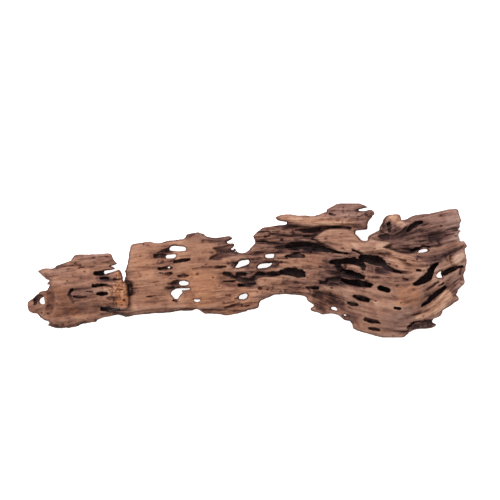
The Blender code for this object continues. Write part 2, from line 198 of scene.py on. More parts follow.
ZONES = [        # parts of the wood that stand off their neighbours by a torn step
    [(-218.5, -21), (-216.5, -28), (-215, -34), (-214, -45), (-214, -58), (-216, -65), (-221, -68),
     (-231, -70), (-245, -73), (-262, -76), (-275, -84), (-285, -120), (-430, -120), (-430, 70),
     (-218.5, 70)],
    [(40, 84), (72, 82), (101, 80), (118, 79), (133, 81), (152, 80), (170, 81), (186, 79.5),
     (196, 76), (216, 70), (250, 100), (230, 140), (40, 140)],
    [(120, 58), (134, 69), (139.5, 72.5), (152, 75.5), (180, 75), (192, 70), (200, 58), (206, 50),
     (200, 44), (189.5, 41), (187, 31), (177, 30), (164, 34), (152, 42), (136, 48)],
    [(243, 70), (243, 92), (250, 104), (276, 104), (277, 90), (286, 81), (277, 72), (262, 64)],
    [(214, 64), (218, 57.5), (226, 55), (240, 52.5), (252, 51.5), (257.5, 48.5), (252, 45),
     (245, 41.5), (262, 35.5), (276, 31), (290, 30), (302, 31), (318, 41),
     (330, 41), (342, 43), (356, 48), (382, 52), (430, 57), (430, 140), (276, 140), (276, 104),
     (277, 90), (286, 81), (277, 72), (262, 64), (243, 70), (228, 78)],
]
ZONE_SOFT = 2.2                         # half the width of a step on top
UNDER_SOFT = 14.0                       # and underneath

# Plates that stand proud, and sunk ones: (lift, softness of the edge, outline).
PLATES = [
    (4, 2.5, [(14, -12), (20, -8), (40, -9), (62, -9), (67, -16), (60, -26), (45, -30), (25, -30),
        (18, -24), (22, -20), (13, -17)]),
    (3, 3, [(58, 8), (66, 4), (100, 5), (120, 4), (142, 8), (140, 20), (128, 29), (108, 31), (62, 29),
        (56, 17)]),
    (7, 3, [(354, -34), (364, -33), (368, -43), (369, -50), (360, -58.5), (348, -69), (337, -78),
        (326, -80), (305, -88), (301, -83), (322, -70), (342, -51)]),
    (-7, 2, [(-60, 39.6), (-43.5, 43), (-33, 46), (-24, 47), (-10, 38), (-17, 30), (-23, 26),
        (-43.5, 21.7), (-54, 19), (-68, 20), (-65, 25), (-54, 30.4), (-55, 34.5)]),
    (-6.5, 2, [(-318, -33), (-300, -32), (-270, -29), (-258, -32), (-260, -46), (-290, -54),
        (-312, -57), (-318, -48)]),
    (-4, 2.5, [(-359, -28), (-348, -34), (-345, -50), (-348, -70), (-356, -84), (-366, -84),
        (-360, -60)]),
    (-5, 2.5, [(-160, 20), (-134, 19), (-132, 9), (-150, 8), (-162, 11)]),
    (-6, 4, [(120, -37), (150, -38), (160, -50), (158, -62), (138, -66), (120, -56)]),
    (-5, 2, [(170, 10), (200, 12), (213, 10), (226, 8), (226, -4), (205, -6), (172, -1)]),
    (3, 2, [(60, 88), (100, 83), (150, 84), (188, 84), (184, 94), (150, 95), (100, 94), (62, 97)]),
    (-4, 3, [(328, 54), (352, 60), (372, 66), (350, 70), (326, 64)]),
    (9, 4, [(369, 16), (374, 10), (382, 9), (391, 14), (391, 26), (384, 31), (373, 29), (368, 23)]),
    (-7.5, 1.6, [(-240, -73), (-215, -75), (-180, -69.5), (-150, -67), (-120, -66.5), (-97, -66),
        (-86, -68), (-60, -68), (-30, -70), (-6, -70), (10, -66), (24, -61), (24, -95), (-240, -95)]),
    (-3.5, 1.6, [(10, 55), (30, 57), (62, 60), (66, 52), (40, 48), (12, 48)]),
    (-3, 2, [(14, 32), (50, 36), (56, 30), (40, 26), (14, 28)]),
    (-4, 2, [(70, 62), (100, 64), (128, 66), (120, 56), (90, 54), (68, 56)]),
    (-3.5, 2, [(130, -2), (150, 0), (168, -4), (168, -8), (146, -8), (128, -8)]),
    (5, 2, [(187, 50), (215, 51), (240, 50.5), (254, 50), (257, 48), (250, 44.5), (246, 41), (262, 35),
        (276, 30), (292, 28), (302, 27), (322, 12), (322, -4), (300, 6), (276, 20), (250, 31),
        (225, 31), (200, 33), (190, 40)]),
]

# Slots bored by shipworm: (depth, undercut, route of (x, y, width)).
SLOTS = [
    # left block
    (14, 0.5, [(-382, -60, 5), (-380, -55, 9), (-377, -50, 9), (-372, -46.5, 7)]),
    (9, 1, [(-315, -34, 4), (-320, -43, 5), (-317, -52, 5), (-312, -58, 3.4)]),
    (8, 0.5, [(-311, -47, 4), (-300, -47.5, 5), (-290, -47, 4)]),
    (5, 0, [(-311, -58, 2.8), (-306, -53, 3), (-296, -56, 2.6), (-288, -53, 2.4), (-278, -54, 2)]),
    (5, 0.5, [(-304, -57, 4), (-301, -57, 4)]),
    (18, 1.5, [(-268, -42, 4.5), (-260, -41.7, 7.5), (-252, -41, 5)]),
    (8, 0.5, [(-288, -39.5, 4), (-278, -39, 5)]),
    (16, 1.5, [(-276, -27, 5), (-268, -26, 6.5), (-260, -25.5, 4), (-250, -25.3, 1.6)]),
    (20, 1, [(-273, -5, 6), (-262, -5, 8.5), (-256, -4, 7)]),
    (12, 1, [(-263, -14, 4.5), (-250, -14, 5)]),
    (8, 0.5, [(-240, -14.7, 2.6), (-235, -14.5, 2.6)]),
    (16, 1, [(-260, -69.5, 6.5), (-248, -69.5, 6.5), (-240, -70, 4), (-230, -70, 2.6)]),
    (7, 0.5, [(-278, 16, 2.4), (-270, 11, 3), (-250, 13.5, 3), (-243, 12, 2.6)]),
    (7, 0.5, [(-303, 4, 2.8), (-294, 6, 3.4)]),
    (4, 0, [(-346, -1.5, 3), (-334, 0.5, 3.4)]),
    # step down to the plank
    (12, 0, [(-211, -26, 4), (-210, -34, 7), (-211, -43, 6)]),
    # plank
    (14, 1, [(-131, 15.5, 5), (-118, 18, 6.5), (-104, 20, 4)]),
    (14, 0.5, [(-143, 37, 7), (-138, 37.5, 8.5)]),
    (8, 0.5, [(-159, 30.5, 4), (-150, 34.5, 6.5), (-144, 38, 6)]),
    (15, 1, [(-166, 26, 5), (-158, 26, 7), (-149, 26, 7.5), (-146, 26, 6)]),
    (13, 1, [(-158, 2, 5), (-150, 3, 8), (-142, 4, 8), (-137, 4, 5)]),
    (10, 0.5, [(-157, -3, 3.4), (-152, -5.5, 3)]),
    (12, 0.5, [(-147, -6.5, 4), (-140, -6, 7), (-137, -5, 5)]),
    (11, 0.5, [(-123, -10.5, 4), (-115, -10, 6), (-107, -9.5, 4)]),
    (13, 0.5, [(-133, -24, 9), (-126, -22, 11)]),
    (12, 0.5, [(-147, -32, 4), (-138, -31, 6), (-131, -30, 7)]),
    (10, 0.5, [(-131, -30, 4), (-118, -29.5, 3.2), (-106, -29, 2.6)]),
    (12, 0.5, [(-132, -54, 4), (-127, -54.5, 5)]),
    (6, 0.5, [(-114, -42, 3.6), (-112, -42, 3.6)]),
    (7, 0.5, [(-182, -48, 1.8), (-170, -47, 3), (-155, -46, 3), (-147, -44.6, 2.2)]),
    (5, 0, [(-168, -22, 2), (-161, -20, 2.8), (-155, -18, 2)]),
    (11, 0.5, [(-96, 2.7, 4), (-80, 4, 6.5), (-60, 5, 7), (-38, 7, 4)]),
    (13, 1, [(-40, -6, 7), (-32, -7, 8)]),
    (16, 1, [(-17, -6.5, 6), (-11, -6.5, 7.5), (-4, -6.5, 6)]),
    (8, 0.5, [(-43, -20, 2.8), (-32, -20, 4), (-21, -20, 4)]),
    (15, 1, [(-31, -9, 5), (-18, -13, 7), (-6, -18, 10), (4, -21, 12), (10, -18, 12), (18, -9, 8),
        (24, -5, 6)]),
    (15, 1, [(-14, -26, 5), (-6, -27, 6), (6, -25, 8), (13, -22, 8)]),
    (4, 0, [(-26, -34, 3), (-17, -34, 3.4)]),
    (9, 0.5, [(-38, -45.3, 3.4), (-31, -45.3, 4)]),
    (5, 0, [(-39, -67, 2.4), (-26, -62, 3), (-13, -58, 2.6)]),
    (5, 0, [(-23, -69, 2.4), (0, -63, 3), (22, -57, 2.6)]),
    (8, 0.5, [(-21, -51, 4), (-17, -49.5, 4)]),
    (12, 0.5, [(-26, 38, 5), (-24, 35, 6)]),
    (6, 0.5, [(-79, 53, 4), (-68, 53.5, 4), (-61, 53, 3.4), (-38, 52, 2.2)]),
    (4, 0, [(-180, 44, 2.2), (-157, 43, 2.6), (-146, 41, 2.2)]),
    (6, 0, [(-104, 59, 3), (-100, 62, 4), (-95, 64, 4)]),
    (9, 0.5, [(-22, 8, 4), (-17, 15, 4), (-9, 20, 3)]),
    # waist and centre
    (16, 1, [(26, -9, 9), (40, -7.5, 8), (54, -5, 7), (64, -3, 8)]),
    (22, 1.5, [(62, -2.5, 8), (74, -2.5, 13), (86, -4, 15.5), (96, -5.5, 14), (101, -7, 10)]),
    (18, 1, [(10, -16, 8), (20, -10, 8), (30, -6, 6)]),
    (7, 0.5, [(22.5, -33, 5.6), (24.5, -33, 5.6)]),
    (4, 0, [(37, -34, 5), (60, -34, 5)]),
    (5, 0, [(70, -36, 8), (92, -37, 8)]),
    (14, 1, [(108, -30.5, 4.4), (118.5, -31, 5.4), (128, -31.5, 4.4)]),
    (16, 1, [(71, 25, 5), (82, 26.5, 8), (92, 27, 8.5), (101, 26, 6)]),
    (24, 1.5, [(72, 42, 6), (84, 44, 12), (98, 45.5, 14), (112, 43.5, 14), (126, 41, 12), (140, 38, 9),
        (155, 35, 6), (170, 32, 3), (180, 31, 2.2)]),
    (6, 0, [(54, 43, 4), (70, 42, 7)]),
    (8, 0.5, [(102, 33, 4), (109, 33.5, 5), (115, 33.5, 4)]),
    (9, 0.5, [(87, 73, 3.4), (98, 73.5, 4)]),
    (8, 0.5, [(22, 69, 3), (38, 70, 3)]),
    (6, 0.5, [(19, 51.7, 2.4), (47, 51.7, 2.4)]),
    (5, 0, [(48, 67, 6), (57, 69, 7)]),
    (9, 0.5, [(103, 72, 7), (118, 74, 8), (132, 77, 5)]),
    (4, 0.5, [(132, 77, 3.4), (150, 78.5, 3), (185, 78, 2)]),
    (10, 0.5, [(184, 76, 5), (185, 74, 5)]),
    (5, 0, [(104, 60, 6), (118, 58, 6)]),
    (10, 0.5, [(149, 101, 5), (157, 99.5, 4.4)]),
    (6, 0, [(36, 27, 4), (50, 25, 5), (47, 21, 3)]),
    (6, 0, [(20, 3, 3), (32, 2.5, 3), (42, 6, 3)]),
    # bowl
    (24, 1, [(152, 16, 7), (161, 15.5, 9), (175, 17, 11), (190, 18.5, 12), (203, 14, 12), (208, 8, 9),
        (209, 3, 6)]),
    (22, 1, [(163, 12, 10), (167, 4, 7), (168.5, -1, 4)]),
    (14, 0.5, [(190, 36, 3), (196, 34.5, 5), (204, 31.5, 5), (212, 27, 6)]),
    (28, 1.5, [(207, 22, 12), (220, 20.5, 16), (232, 18, 18), (240, 15, 15)]),
    (14, 1, [(244, 10, 9), (253, 5, 6), (264, 0, 4), (276, -4, 2.2)]),
    (5, 0, [(234, 1, 8), (246, -3, 9), (256, -6, 5)]),
    (31, 1.5, [(172, -1, 5), (184, -4.5, 8), (197, -8, 9), (208, -11.5, 6)]),
    (36, 1.5, [(171, -17, 5), (184, -20.5, 9), (198, -23, 11), (212, -25, 10), (221, -26.5, 6)]),
    (16, 1, [(144, -17, 6), (155, -16, 9), (166, -14.5, 8)]),
    (11, 0.5, [(132, -22, 5), (148, -23.5, 8), (162, -25, 6)]),
    (18, 1, [(193, -45.5, 4), (203, -48.5, 8), (212, -51.5, 7.5), (217, -53, 5)]),
    (14, 1, [(183, -59, 5), (190, -60, 8), (197, -61, 5)]),
    (9, 0.5, [(174.5, -59.5, 2.4), (182, -65, 3.2), (191, -71.5, 2.4)]),
    (16, 1, [(213, -87.7, 5), (222, -90, 8), (231, -92, 7), (238, -94, 4)]),
    (10, 0.5, [(221, -104, 5), (229, -105.5, 7), (237, -107, 5)]),
    (26, 1.5, [(239, -31, 8.5), (252, -35.5, 8.5)]),
    (16, 1, [(265, -66.5, 5.2), (274, -68, 5.2)]),
    (5, 0, [(259, -44.5, 2.2), (266, -48, 2.4)]),
    (5, 0, [(279, -14, 2.2), (288, -17.5, 2.4)]),
    (5, 0, [(225, -12, 2.2), (236, -14.5, 2.6)]),
    (4, 0, [(206, -38, 2.4), (214, -39, 2.4)]),
    (4, 0, [(244, 43, 2.4), (256, 41, 2.4)]),
    (9, 0.5, [(305, 0.8, 4), (311, 0.2, 4)]),
    (30, 1.5, [(301, -24, 4), (309, -20, 9), (317, -16, 13), (323, -12, 14), (328, -3, 12),
        (333, 3, 10), (338, 9, 6), (341.5, 12, 3)]),
    (20, 1, [(352, -5, 7), (358, -3, 8), (366, 1, 7), (376, 4.5, 5), (387, 8, 3.4)]),
    (12, 0.5, [(323, -34, 3.6), (332, -28, 5), (340, -22, 4)]),
    (9, 0.5, [(342, -28, 3.6), (353, -22.5, 3.4)]),
    (18, 1, [(315, -62.5, 4), (326, -55.5, 6.5), (335, -46, 7.5), (345, -37.5, 6.5), (356, -30, 4)]),
    (9, 0.5, [(287, -104, 3), (296, -96, 4), (306, -92, 4), (318, -91, 4), (332, -89.5, 3)]),
    # knot and panel
    (12, 0.5, [(255, 84, 6), (256.5, 78, 7), (256, 72, 6)]),
    (7, 0, [(239, 62, 7), (250, 60, 9)]),
    (16, 1, [(289, 72, 4), (296, 79, 9), (304, 84.5, 8), (314, 87, 4)]),
    (9, 0.5, [(356, 70, 4), (363, 72, 7), (371, 74.5, 7.5), (376, 76, 5)]),
    (5, 0, [(340, 42, 2.4), (355, 47.5, 2.4)]),
    (4, 0, [(262, 38, 2), (277, 34, 2), (292, 31.5, 2)]),
    (15, 0.5, [(294, 34, 3), (303, 39, 5), (316, 43, 4), (328, 42.5, 3)]),
    (8, 0, [(383, -6, 4), (384.5, 4, 4)]),
    (6, 0, [(366, 27, 2.6), (365, 18, 2.6), (369, 10, 3), (378, 6.5, 2.6)]),
    (4, 0, [(312, 51, 2.4), (332, 54, 2.4), (352, 58, 2.4)]),
]
PINS = [         # single worm holes (x, y, width)
    (-321.5, -94, 3), (-323, -19, 3), (-358, -78, 4), (-201, 14, 2.4), (-192, 26, 2.4), (-191, 20, 2.2),
    (-186, 47, 3), (-166, -59, 3), (-102, 62, 2.4), (-89, -6.5, 5), (-61, -12.5, 3.4), (-74, 10, 2.2),
    (-19, -50, 2.6), (65.6, -16, 2.8), (72, -18, 2.4), (34, -27, 3), (62, -38.5, 2.4), (101, 7, 2.4),
    (89, 20, 2.4), (108, -5, 2.4), (109, -13, 2.4), (137, 16, 3.4), (137, 18.5, 2.6), (167, -24, 3),
    (152, -31.5, 3), (231, -54.6, 3.6), (276, -58, 2.8), (280, -11.4, 2.8), (269, -27, 2.4),
    (-369.5, -77, 3.4), (370, -45, 3), (-180, 10, 2.2), (-150, -60, 2.2), (-50, -28, 2.2),
    (120, 22, 2.4), (-340, -88, 2.4),
]

CRUMBLE = [      # broken ends where the wood is crumbling into grains
    [(-236, -6), (-228, -8), (-218, -26), (-212, -32), (-211, -64), (-224, -70), (-240, -66),
     (-250, -50), (-252, -34), (-244, -27)],
    [(-240, 14), (-226, 12), (-220, -6), (-232, -8), (-236, 4)],
    [(196, 118), (224, 108), (226, 92), (206, 88), (196, 98)],
    [(286, -108), (298, -92), (338, -88), (340, -98), (310, -107)],
]

# Direction of the fibres (x, y, degrees from +X).
FLOW = [
    (-380, -60, 25), (-370, 0, 12), (-330, 0, 9), (-330, -50, 6), (-330, -90, 8), (-270, 20, 3),
    (-270, -40, 4), (-230, -60, 2), (-200, 20, 8), (-200, -50, 3), (-140, 40, 6), (-140, -40, 4),
    (-80, 50, 4), (-80, -40, 3), (-20, 50, 4), (-20, 0, 2), (-20, -60, 14), (40, 60, 2),
    (40, 0, -2), (40, -30, -4), (90, 90, -1), (90, 40, 0), (90, -20, -4), (130, 70, 8),
    (130, 30, -8), (140, -60, -25), (160, 110, 5), (200, 90, 0), (170, 50, -6), (170, -10, -8),
    (200, -40, -16), (180, -80, -22), (220, -80, -16), (230, 40, -8), (250, 0, -14), (250, -40, -17),
    (260, -80, -10), (270, -110, -4), (300, 20, -38), (300, -30, 28), (300, -60, 8), (320, -70, 34),
    (330, -20, 44), (350, -50, 44), (310, -98, 10), (360, 0, 26), (380, 20, 30), (350, 30, 16),
    (300, 60, 12), (340, 80, 10), (370, 60, 14), (300, 90, 12), (262, 85, 60), (245, 60, 20),
    (380, -30, 50),
]
FLOW_RADIUS = 26.0
ROUGH_RADIUS = 24.0

# How deeply weathered the face is (x, y, 0 smooth to 1 rough).
ROUGH = [
    (-370, -60, 0.3), (-340, 0, 0.5), (-280, 20, 0.7), (-320, -50, 0.15), (-300, -90, 0.6),
    (-260, -20, 0.7), (-260, -60, 0.15), (-230, -40, 1.0), (-190, 20, 0.25), (-190, -50, 0.2),
    (-140, 50, 0.4), (-140, 0, 0.6), (-100, -60, 0.25), (-70, 30, 0.15), (-70, -30, 0.15),
    (-40, -70, 0.7), (-30, 20, 0.6), (0, -20, 0.6), (10, 45, 0.8), (40, -20, 0.5), (50, 60, 1.0),
    (110, 60, 1.0), (120, 90, 0.3), (110, 15, 0.4), (90, -35, 0.8), (140, -50, 1.0), (180, 105, 0.8),
    (165, 60, 0.45), (190, 5, 1.0), (140, -10, 0.8), (240, 0, 0.7), (220, 42, 0.4), (250, -60, 0.1),
    (210, -85, 0.3), (280, -100, 0.6), (310, -98, 1.0), (290, 10, 0.8), (300, -40, 0.15),
    (340, -20, 0.9), (350, -60, 0.9), (375, 0, 0.9), (350, 30, 0.45), (260, 75, 0.3), (300, 60, 0.9),
    (340, 90, 0.7), (370, 70, 0.7),
]

# Painted areas, which add up where they overlap: (softness, light, warm, mauve, outline). Their light is
# partly the wood's own tone and partly painted shade, such as shadows beside steps and under edges.
PATCHES = [
    # left block
    (5, -0.1, 0.15, 0.05, [(-400, -110), (-400, 40), (-222, 40), (-214, -30), (-214, -66), (-262, -78),
        (-275, -110)]),
    (5, 0.05, 0.85, 0, [(-238, -2), (-230, 0), (-222, -22), (-214, -30), (-214, -60), (-222, -67),
        (-234, -62), (-241, -50), (-238, -36), (-246, -28), (-232, -22), (-230, -12)]),
    (3, 0.02, -0.1, 0.7, [(-318, -33), (-304, -37), (-292, -31), (-270, -30), (-262, -36), (-276, -46),
        (-296, -45), (-302, -54), (-314, -58), (-319, -46)]),
    # painted shade in a soft band down the left block's left end
    (4, -0.3, 0.35, 0, [(-362, -30), (-345, -28), (-343, -50), (-346, -70), (-336, -84), (-356, -88),
        (-362, -62)]),
    (4, -0.25, 0.45, 0, [(-343, -30), (-322, -34), (-318, -60), (-290, -66), (-300, -80), (-340, -82)]),
    (3, -0.5, 0, 0.5, [(-272, -9), (-240, -10), (-232, -18), (-240, -24), (-270, -22)]),
    (3, 0.15, -0.2, 0.35, [(-372, 0), (-330, 8), (-316, 0), (-330, -8), (-362, -10)]),
    (3, -0.2, 0, 0.45, [(-314, 27), (-248, 29), (-242, 16), (-280, 12), (-312, 16)]),
    # painted shade along the left block's lower edge, where it rolls under
    (2, -0.8, 0.1, 0.1, [(-356, -96), (-330, -98), (-300, -93), (-272, -87), (-268, -91), (-300, -98),
        (-330, -106), (-352, -104)]),
    (3, 0.15, 0.1, 0, [(-320, -66), (-260, -60), (-240, -66), (-270, -80), (-320, -84)]),
    # plank
    (8, 0.1, 0.35, 0, [(-208, 45), (-100, 55), (-60, 50), (-30, 15), (-50, -10), (-60, -60),
        (-200, -72), (-212, -20)]),
    # painted shadow in the step down from the left block to the plank
    (4, -0.8, 0.1, 0.2, [(-218, -20), (-204, -22), (-198, -34), (-203, -44), (-216, -46)]),
    (4, -0.28, 0, 0.35, [(-168, 14), (-130, 20), (-128, 8), (-134, -12), (-110, -16), (-104, -26),
        (-130, -36), (-152, -34), (-136, -22), (-140, -12), (-166, -6)]),
    (3, -0.35, 0, 0.3, [(-174, 30), (-150, 40), (-140, 44), (-146, 22), (-172, 21)]),
    (1.5, -0.6, 0, 0.8, [(-68, 20), (-54, 19), (-43.5, 21.7), (-23, 26), (-15, 31), (-24, 47),
        (-33, 46), (-43.5, 43), (-60, 39.6), (-55, 34.5), (-54, 30.4), (-65, 25)]),
    (2, -0.3, 0, 0.2, [(-84, 56), (-60, 55), (-30, 54), (-32, 50), (-62, 50)]),
    # painted shade along the plank's lower edge, where it rolls under
    (2, -0.65, 0, 0.1, [(-235, -76), (-215, -78), (-150, -72), (-95, -68), (-88, -71), (-99, -74),
        (-150, -78), (-218, -85), (-235, -82)]),
    (2, -0.3, 0.1, 0.3, [(-88, -69), (-60, -74), (-20, -75), (18, -63), (20, -69), (-4, -74),
        (-40, -82), (-75, -80)]),
    (3, -0.25, 0.3, 0, [(-110, 66), (-92, 67), (-84, 58), (-108, 54)]),
    # waist and centre
    (4, -0.5, 0, 0.4, [(-48, 2), (-20, 0), (10, -2), (30, 2), (34, -8), (16, -12), (14, -28),
        (-20, -32), (-46, -24), (-54, -10)]),
    (4, 0.22, 0.3, 0, [(14, -12), (20, -8), (40, -9), (62, -9), (67, -16), (60, -26), (45, -30),
        (25, -30), (18, -24), (22, -20), (13, -17)]),
    (3, 0.02, 0.25, 0, [(58, 8), (66, 4), (100, 5), (120, 4), (142, 8), (140, 20), (128, 29), (108, 31),
        (62, 20), (56, 17)]),
    (4, -0.4, 0, 0.5, [(50, 46), (70, 54), (110, 56), (140, 50), (184, 32), (176, 29), (140, 32),
        (100, 31), (70, 34), (52, 38)]),
    (4, -0.55, 0, 0.5, [(60, 66), (100, 77), (132, 80), (188, 79), (184, 75), (150, 75), (136, 69),
        (124, 60), (136, 50), (120, 52), (100, 58), (70, 60)]),
    (4, -0.3, 0.3, 0.2, [(62, -30), (100, -28), (108, -44), (70, -42)]),
    (4, -0.2, 0.2, 0.1, [(-30, -54), (0, -60), (22, -56), (20, -66), (-10, -70), (-40, -68)]),
    (3, 0.22, 0.3, 0, [(-16, -34), (14, -32), (60, -32), (40, -42), (10, -42)]),
    (4, -0.2, 0.15, 0.1, [(12, 60), (70, 74), (70, 60), (40, 52), (16, 52)]),
    # torn crest and the ridge below it
    (3, 0.28, 0.3, 0, [(56, 90), (60, 97), (110, 95), (150, 93), (190, 90), (188, 82), (150, 82),
        (100, 83), (72, 86)]),
    (4, -0.3, -0.2, 1, [(138, 102), (168, 121), (212, 118), (229, 103), (204, 88), (190, 92),
        (150, 96)]),
    (3, -0.25, 0, 0.5, [(194, 88), (226, 98), (216, 74), (194, 72)]),
    (2, 0.12, 0.15, 0, [(124, 58), (136, 69), (152, 74), (180, 74), (192, 69), (200, 57), (205, 51),
        (189, 42), (187, 32), (164, 35), (152, 42), (136, 48)]),
    # bowl
    (4, -0.6, 0, 0.6, [(138, 22), (150, 27), (180, 31), (215, 33), (247, 26), (284, -5), (262, -1),
        (236, -8), (214, 2), (214, -10), (200, -17), (172, -8), (150, -6), (138, 8)]),
    (2, 0.6, 0.3, 0.1, [(173, 8), (200, 9), (206, 1), (200, -5), (178, -1)]),
    (3, -0.4, 0, 0.35, [(128, -13), (170, -10), (215, -14), (230, -26), (200, -32), (170, -30),
        (140, -31), (122, -24)]),
    (5, -0.55, 0.3, 0.2, [(110, -36), (150, -34), (170, -46), (176, -60), (160, -66), (136, -64),
        (116, -56)]),
    (4, -0.15, 0.1, 0.25, [(186, -42), (222, -50), (214, -60), (196, -68), (182, -62)]),
    (8, 0.2, 0.05, 0.1, [(232, -30), (292, -26), (302, -68), (270, -88), (220, -82), (204, -64)]),
    (6, 0.12, 0, 0.6, [(255, -78), (292, -72), (302, -90), (292, -112), (262, -119), (248, -98)]),
    (6, 0.12, 0.1, 0.05, [(187, 50), (235, 48), (257, 47), (266, 32), (300, 20), (320, 6), (318, -4),
        (300, 4), (276, 16), (250, 31), (225, 31), (200, 33), (190, 40)]),
    (2, -1.1, 0, 0.5, [(286, -110), (298, -93), (326, -90), (343, -86), (341, -98), (322, -105),
        (300, -107)]),
    (4, -0.1, 0.2, 0, [(196, -92), (250, -100), (262, -112), (230, -112), (196, -102)]),
    # fins and the broken end
    (3, 0.55, 0.35, 0, [(354, -34), (366, -34), (369, -50), (348, -69), (330, -80), (306, -88),
        (301, -83), (322, -70), (342, -51)]),
    (3, -0.35, 0, 0.35, [(316, -30), (345, -16), (358, -26), (342, -46), (318, -64), (308, -64),
        (318, -46)]),
    (4, -0.15, 0, 0.55, [(322, 20), (350, 30), (396, 47), (392, 34), (366, 24), (340, 10), (322, 6)]),
    (2, 0.45, 0.1, 0.1, [(368, 12), (380, 8), (392, 14), (390, 26), (376, 28)]),
    (3, -0.5, 0, 0.4, [(378, -12), (389, -12), (392, 6), (382, 6)]),
    (4, -0.15, 0.1, 0.3, [(352, -14), (382, -2), (386, -26), (366, -34), (356, -30)]),
    # knot and panel
    (3, -0.2, -0.1, 1, [(218, 60), (240, 53), (256, 50), (246, 42), (262, 36), (280, 31), (300, 32),
        (318, 41), (342, 43), (356, 48), (386, 52), (390, 90), (380, 112), (290, 96), (277, 88),
        (262, 66)]),
    (4, -0.75, 0, 0.4, [(326, 51), (352, 57), (374, 64), (352, 70), (326, 67)]),
    (3, -0.15, 0, 0.4, [(236, 72), (246, 76), (262, 70), (262, 60), (238, 56)]),
    (3, -0.2, 0, 0.6, [(242, 74), (246, 92), (254, 98), (258, 86), (254, 74)]),
    (2, 0.8, 0.5, 0, [(256, 99), (274, 99), (276, 91), (264, 88)]),
    (2, 1.05, 0.6, 0, [(270, 89), (286, 84), (280, 79), (272, 82)]),
    (3, -0.35, 0, 0.3, [(282, 66), (300, 88), (318, 90), (312, 80), (292, 66)]),
    # wider shades: left block
    (6, 0.4, 0, 0.1, [(-376, 24), (-352, 24), (-350, 0), (-374, -2)]),
    (4, -0.3, 0.1, 0.2, [(-352, 24), (-326, 26), (-326, 4), (-352, 2)]),
    (3, 0.45, 0.05, 0, [(-352, -86), (-320, -86), (-300, -82), (-290, -79), (-290, -84), (-320, -92),
        (-350, -94)]),
    (3, 0.25, 0, 0.1, [(-346, -19), (-310, -20), (-276, -16), (-276, -22), (-312, -26), (-346, -25)]),
    (3, -0.3, 0, 0.1, [(-340, -9), (-300, -8), (-276, -12), (-276, -15), (-312, -16), (-342, -15)]),
    (6, -0.25, 0, 0.1, [(-328, -26), (-276, -2), (-276, -20), (-300, -48), (-328, -50)]),
    (8, 0, 0.1, 0.1, [(-350, 5), (-340, -28), (-250, -28), (-240, 0), (-300, 4)]),
    (6, -0.22, 0.1, 0.1, [(-345, -62), (-240, -62), (-240, -76), (-300, -84), (-345, -84)]),
    (6, 0.18, 0.05, 0, [(-330, 22), (-250, 24), (-246, 4), (-326, -2)]),
    (5, 0, 0, 0.7, [(-314, 34), (-244, 36), (-236, 24), (-300, 20)]),
    (5, 0.7, 0, 0.1, [(-300, 46), (-246, 48), (-238, 28), (-250, 24), (-292, 26)]),
    (6, -0.2, 0, 0.1, [(-276, -2), (-244, -2), (-244, -24), (-276, -24)]),
    (5, -0.35, 0.2, 0, [(-274, -50), (-212, -52), (-206, -70), (-240, -74), (-274, -70)]),
    # wider shades: plank
    # painted shadow beside the step down from the left block
    (2, -0.7, 0, 0.1, [(-216, -20), (-206, -24), (-205, -42), (-214, -44)]),
    (4, 0.25, 0.1, 0, [(-212, -46), (-200, -46), (-198, -74), (-214, -74)]),
    (4, 0.2, 0.2, 0.1, [(-206, 26), (-170, 30), (-168, -16), (-206, -14)]),
    (5, -0.25, 0, 0.2, [(-178, 44), (-126, 48), (-128, 24), (-176, 20)]),
    (4, -0.45, 0, 0.3, [(-152, 46), (-138, 50), (-126, 48), (-130, 32), (-146, 24), (-160, 32)]),
    (3, -0.45, 0, 0.2, [(-160, 12), (-150, 17), (-128, 20), (-126, 13), (-140, 11)]),
    (4, -0.4, 0, 0.3, [(-150, -26), (-126, -32), (-100, -36), (-96, -46), (-140, -44)]),
    (6, -0.5, 0, 0.85, [(-150, 72), (-96, 72), (-24, 58), (-34, 49), (-100, 56), (-150, 54)]),
    (5, 0.28, 0, 0.1, [(-102, 72), (-74, 72), (-70, 56), (-100, 54)]),
    (5, -0.25, 0, 0.2, [(-80, 20), (-44, 22), (-44, 2), (-80, 0)]),
    (10, 0, 0.4, 0, [(-110, 0), (-20, -6), (24, -60), (-20, -84), (-110, -70)]),
    (6, 0.35, 0.05, 0, [(-52, -30), (-24, -32), (-24, -50), (-52, -50)]),
    (6, 0.3, 0.05, 0.1, [(-56, 34), (-30, 50), (-22, 48), (-24, 30), (-44, 24)]),
    (4, -1, 0, 0.35, [(-28, 18), (0, 20), (4, 2), (-26, 4)]),
    (4, -0.4, 0, 0.3, [(-24, 50), (4, 56), (8, 34), (-6, 22), (-20, 28)]),
    # wider shades: waist and centre
    (4, -0.45, 0, 0.4, [(-2, -8), (28, -8), (30, -15), (16, -19), (14, -28), (0, -32)]),
    (5, -0.6, 0.1, 0.2, [(0, -2), (0, 24), (50, 24), (56, 4), (40, -2)]),
    (6, -0.28, 0, 0.25, [(8, 26), (14, 54), (66, 56), (66, 34)]),
    (5, -0.4, 0.1, 0.1, [(24, -30), (58, -34), (56, -50), (24, -52)]),
    # painted shadow under the crest's left tip
    (3, -0.7, 0, 0.2, [(50, 76), (84, 76), (84, 88), (62, 91), (50, 97)]),
    (5, -0.3, 0.1, 0.15, [(28, 36), (60, 52), (96, 54), (96, 34)]),
    (5, 0.3, 0, 0.1, [(76, 96), (100, 96), (100, 80), (80, 80)]),
    (5, -0.25, 0.1, 0.1, [(76, -28), (106, -30), (108, -46), (78, -46)]),
    (5, -0.45, 0.15, 0.2, [(84, -9), (100, -4), (126, -3), (129, -26), (84, -24)]),
    # painted shade round the long deep slot
    (3, -0.6, 0, 0.4, [(72, 50), (92, 54), (124, 50), (142, 42), (140, 35), (112, 36), (80, 38)]),
    (5, -0.25, 0.1, 0.1, [(100, 26), (146, 26), (146, 4), (100, 4)]),
    # wider shades: bowl, knot, panel and broken end
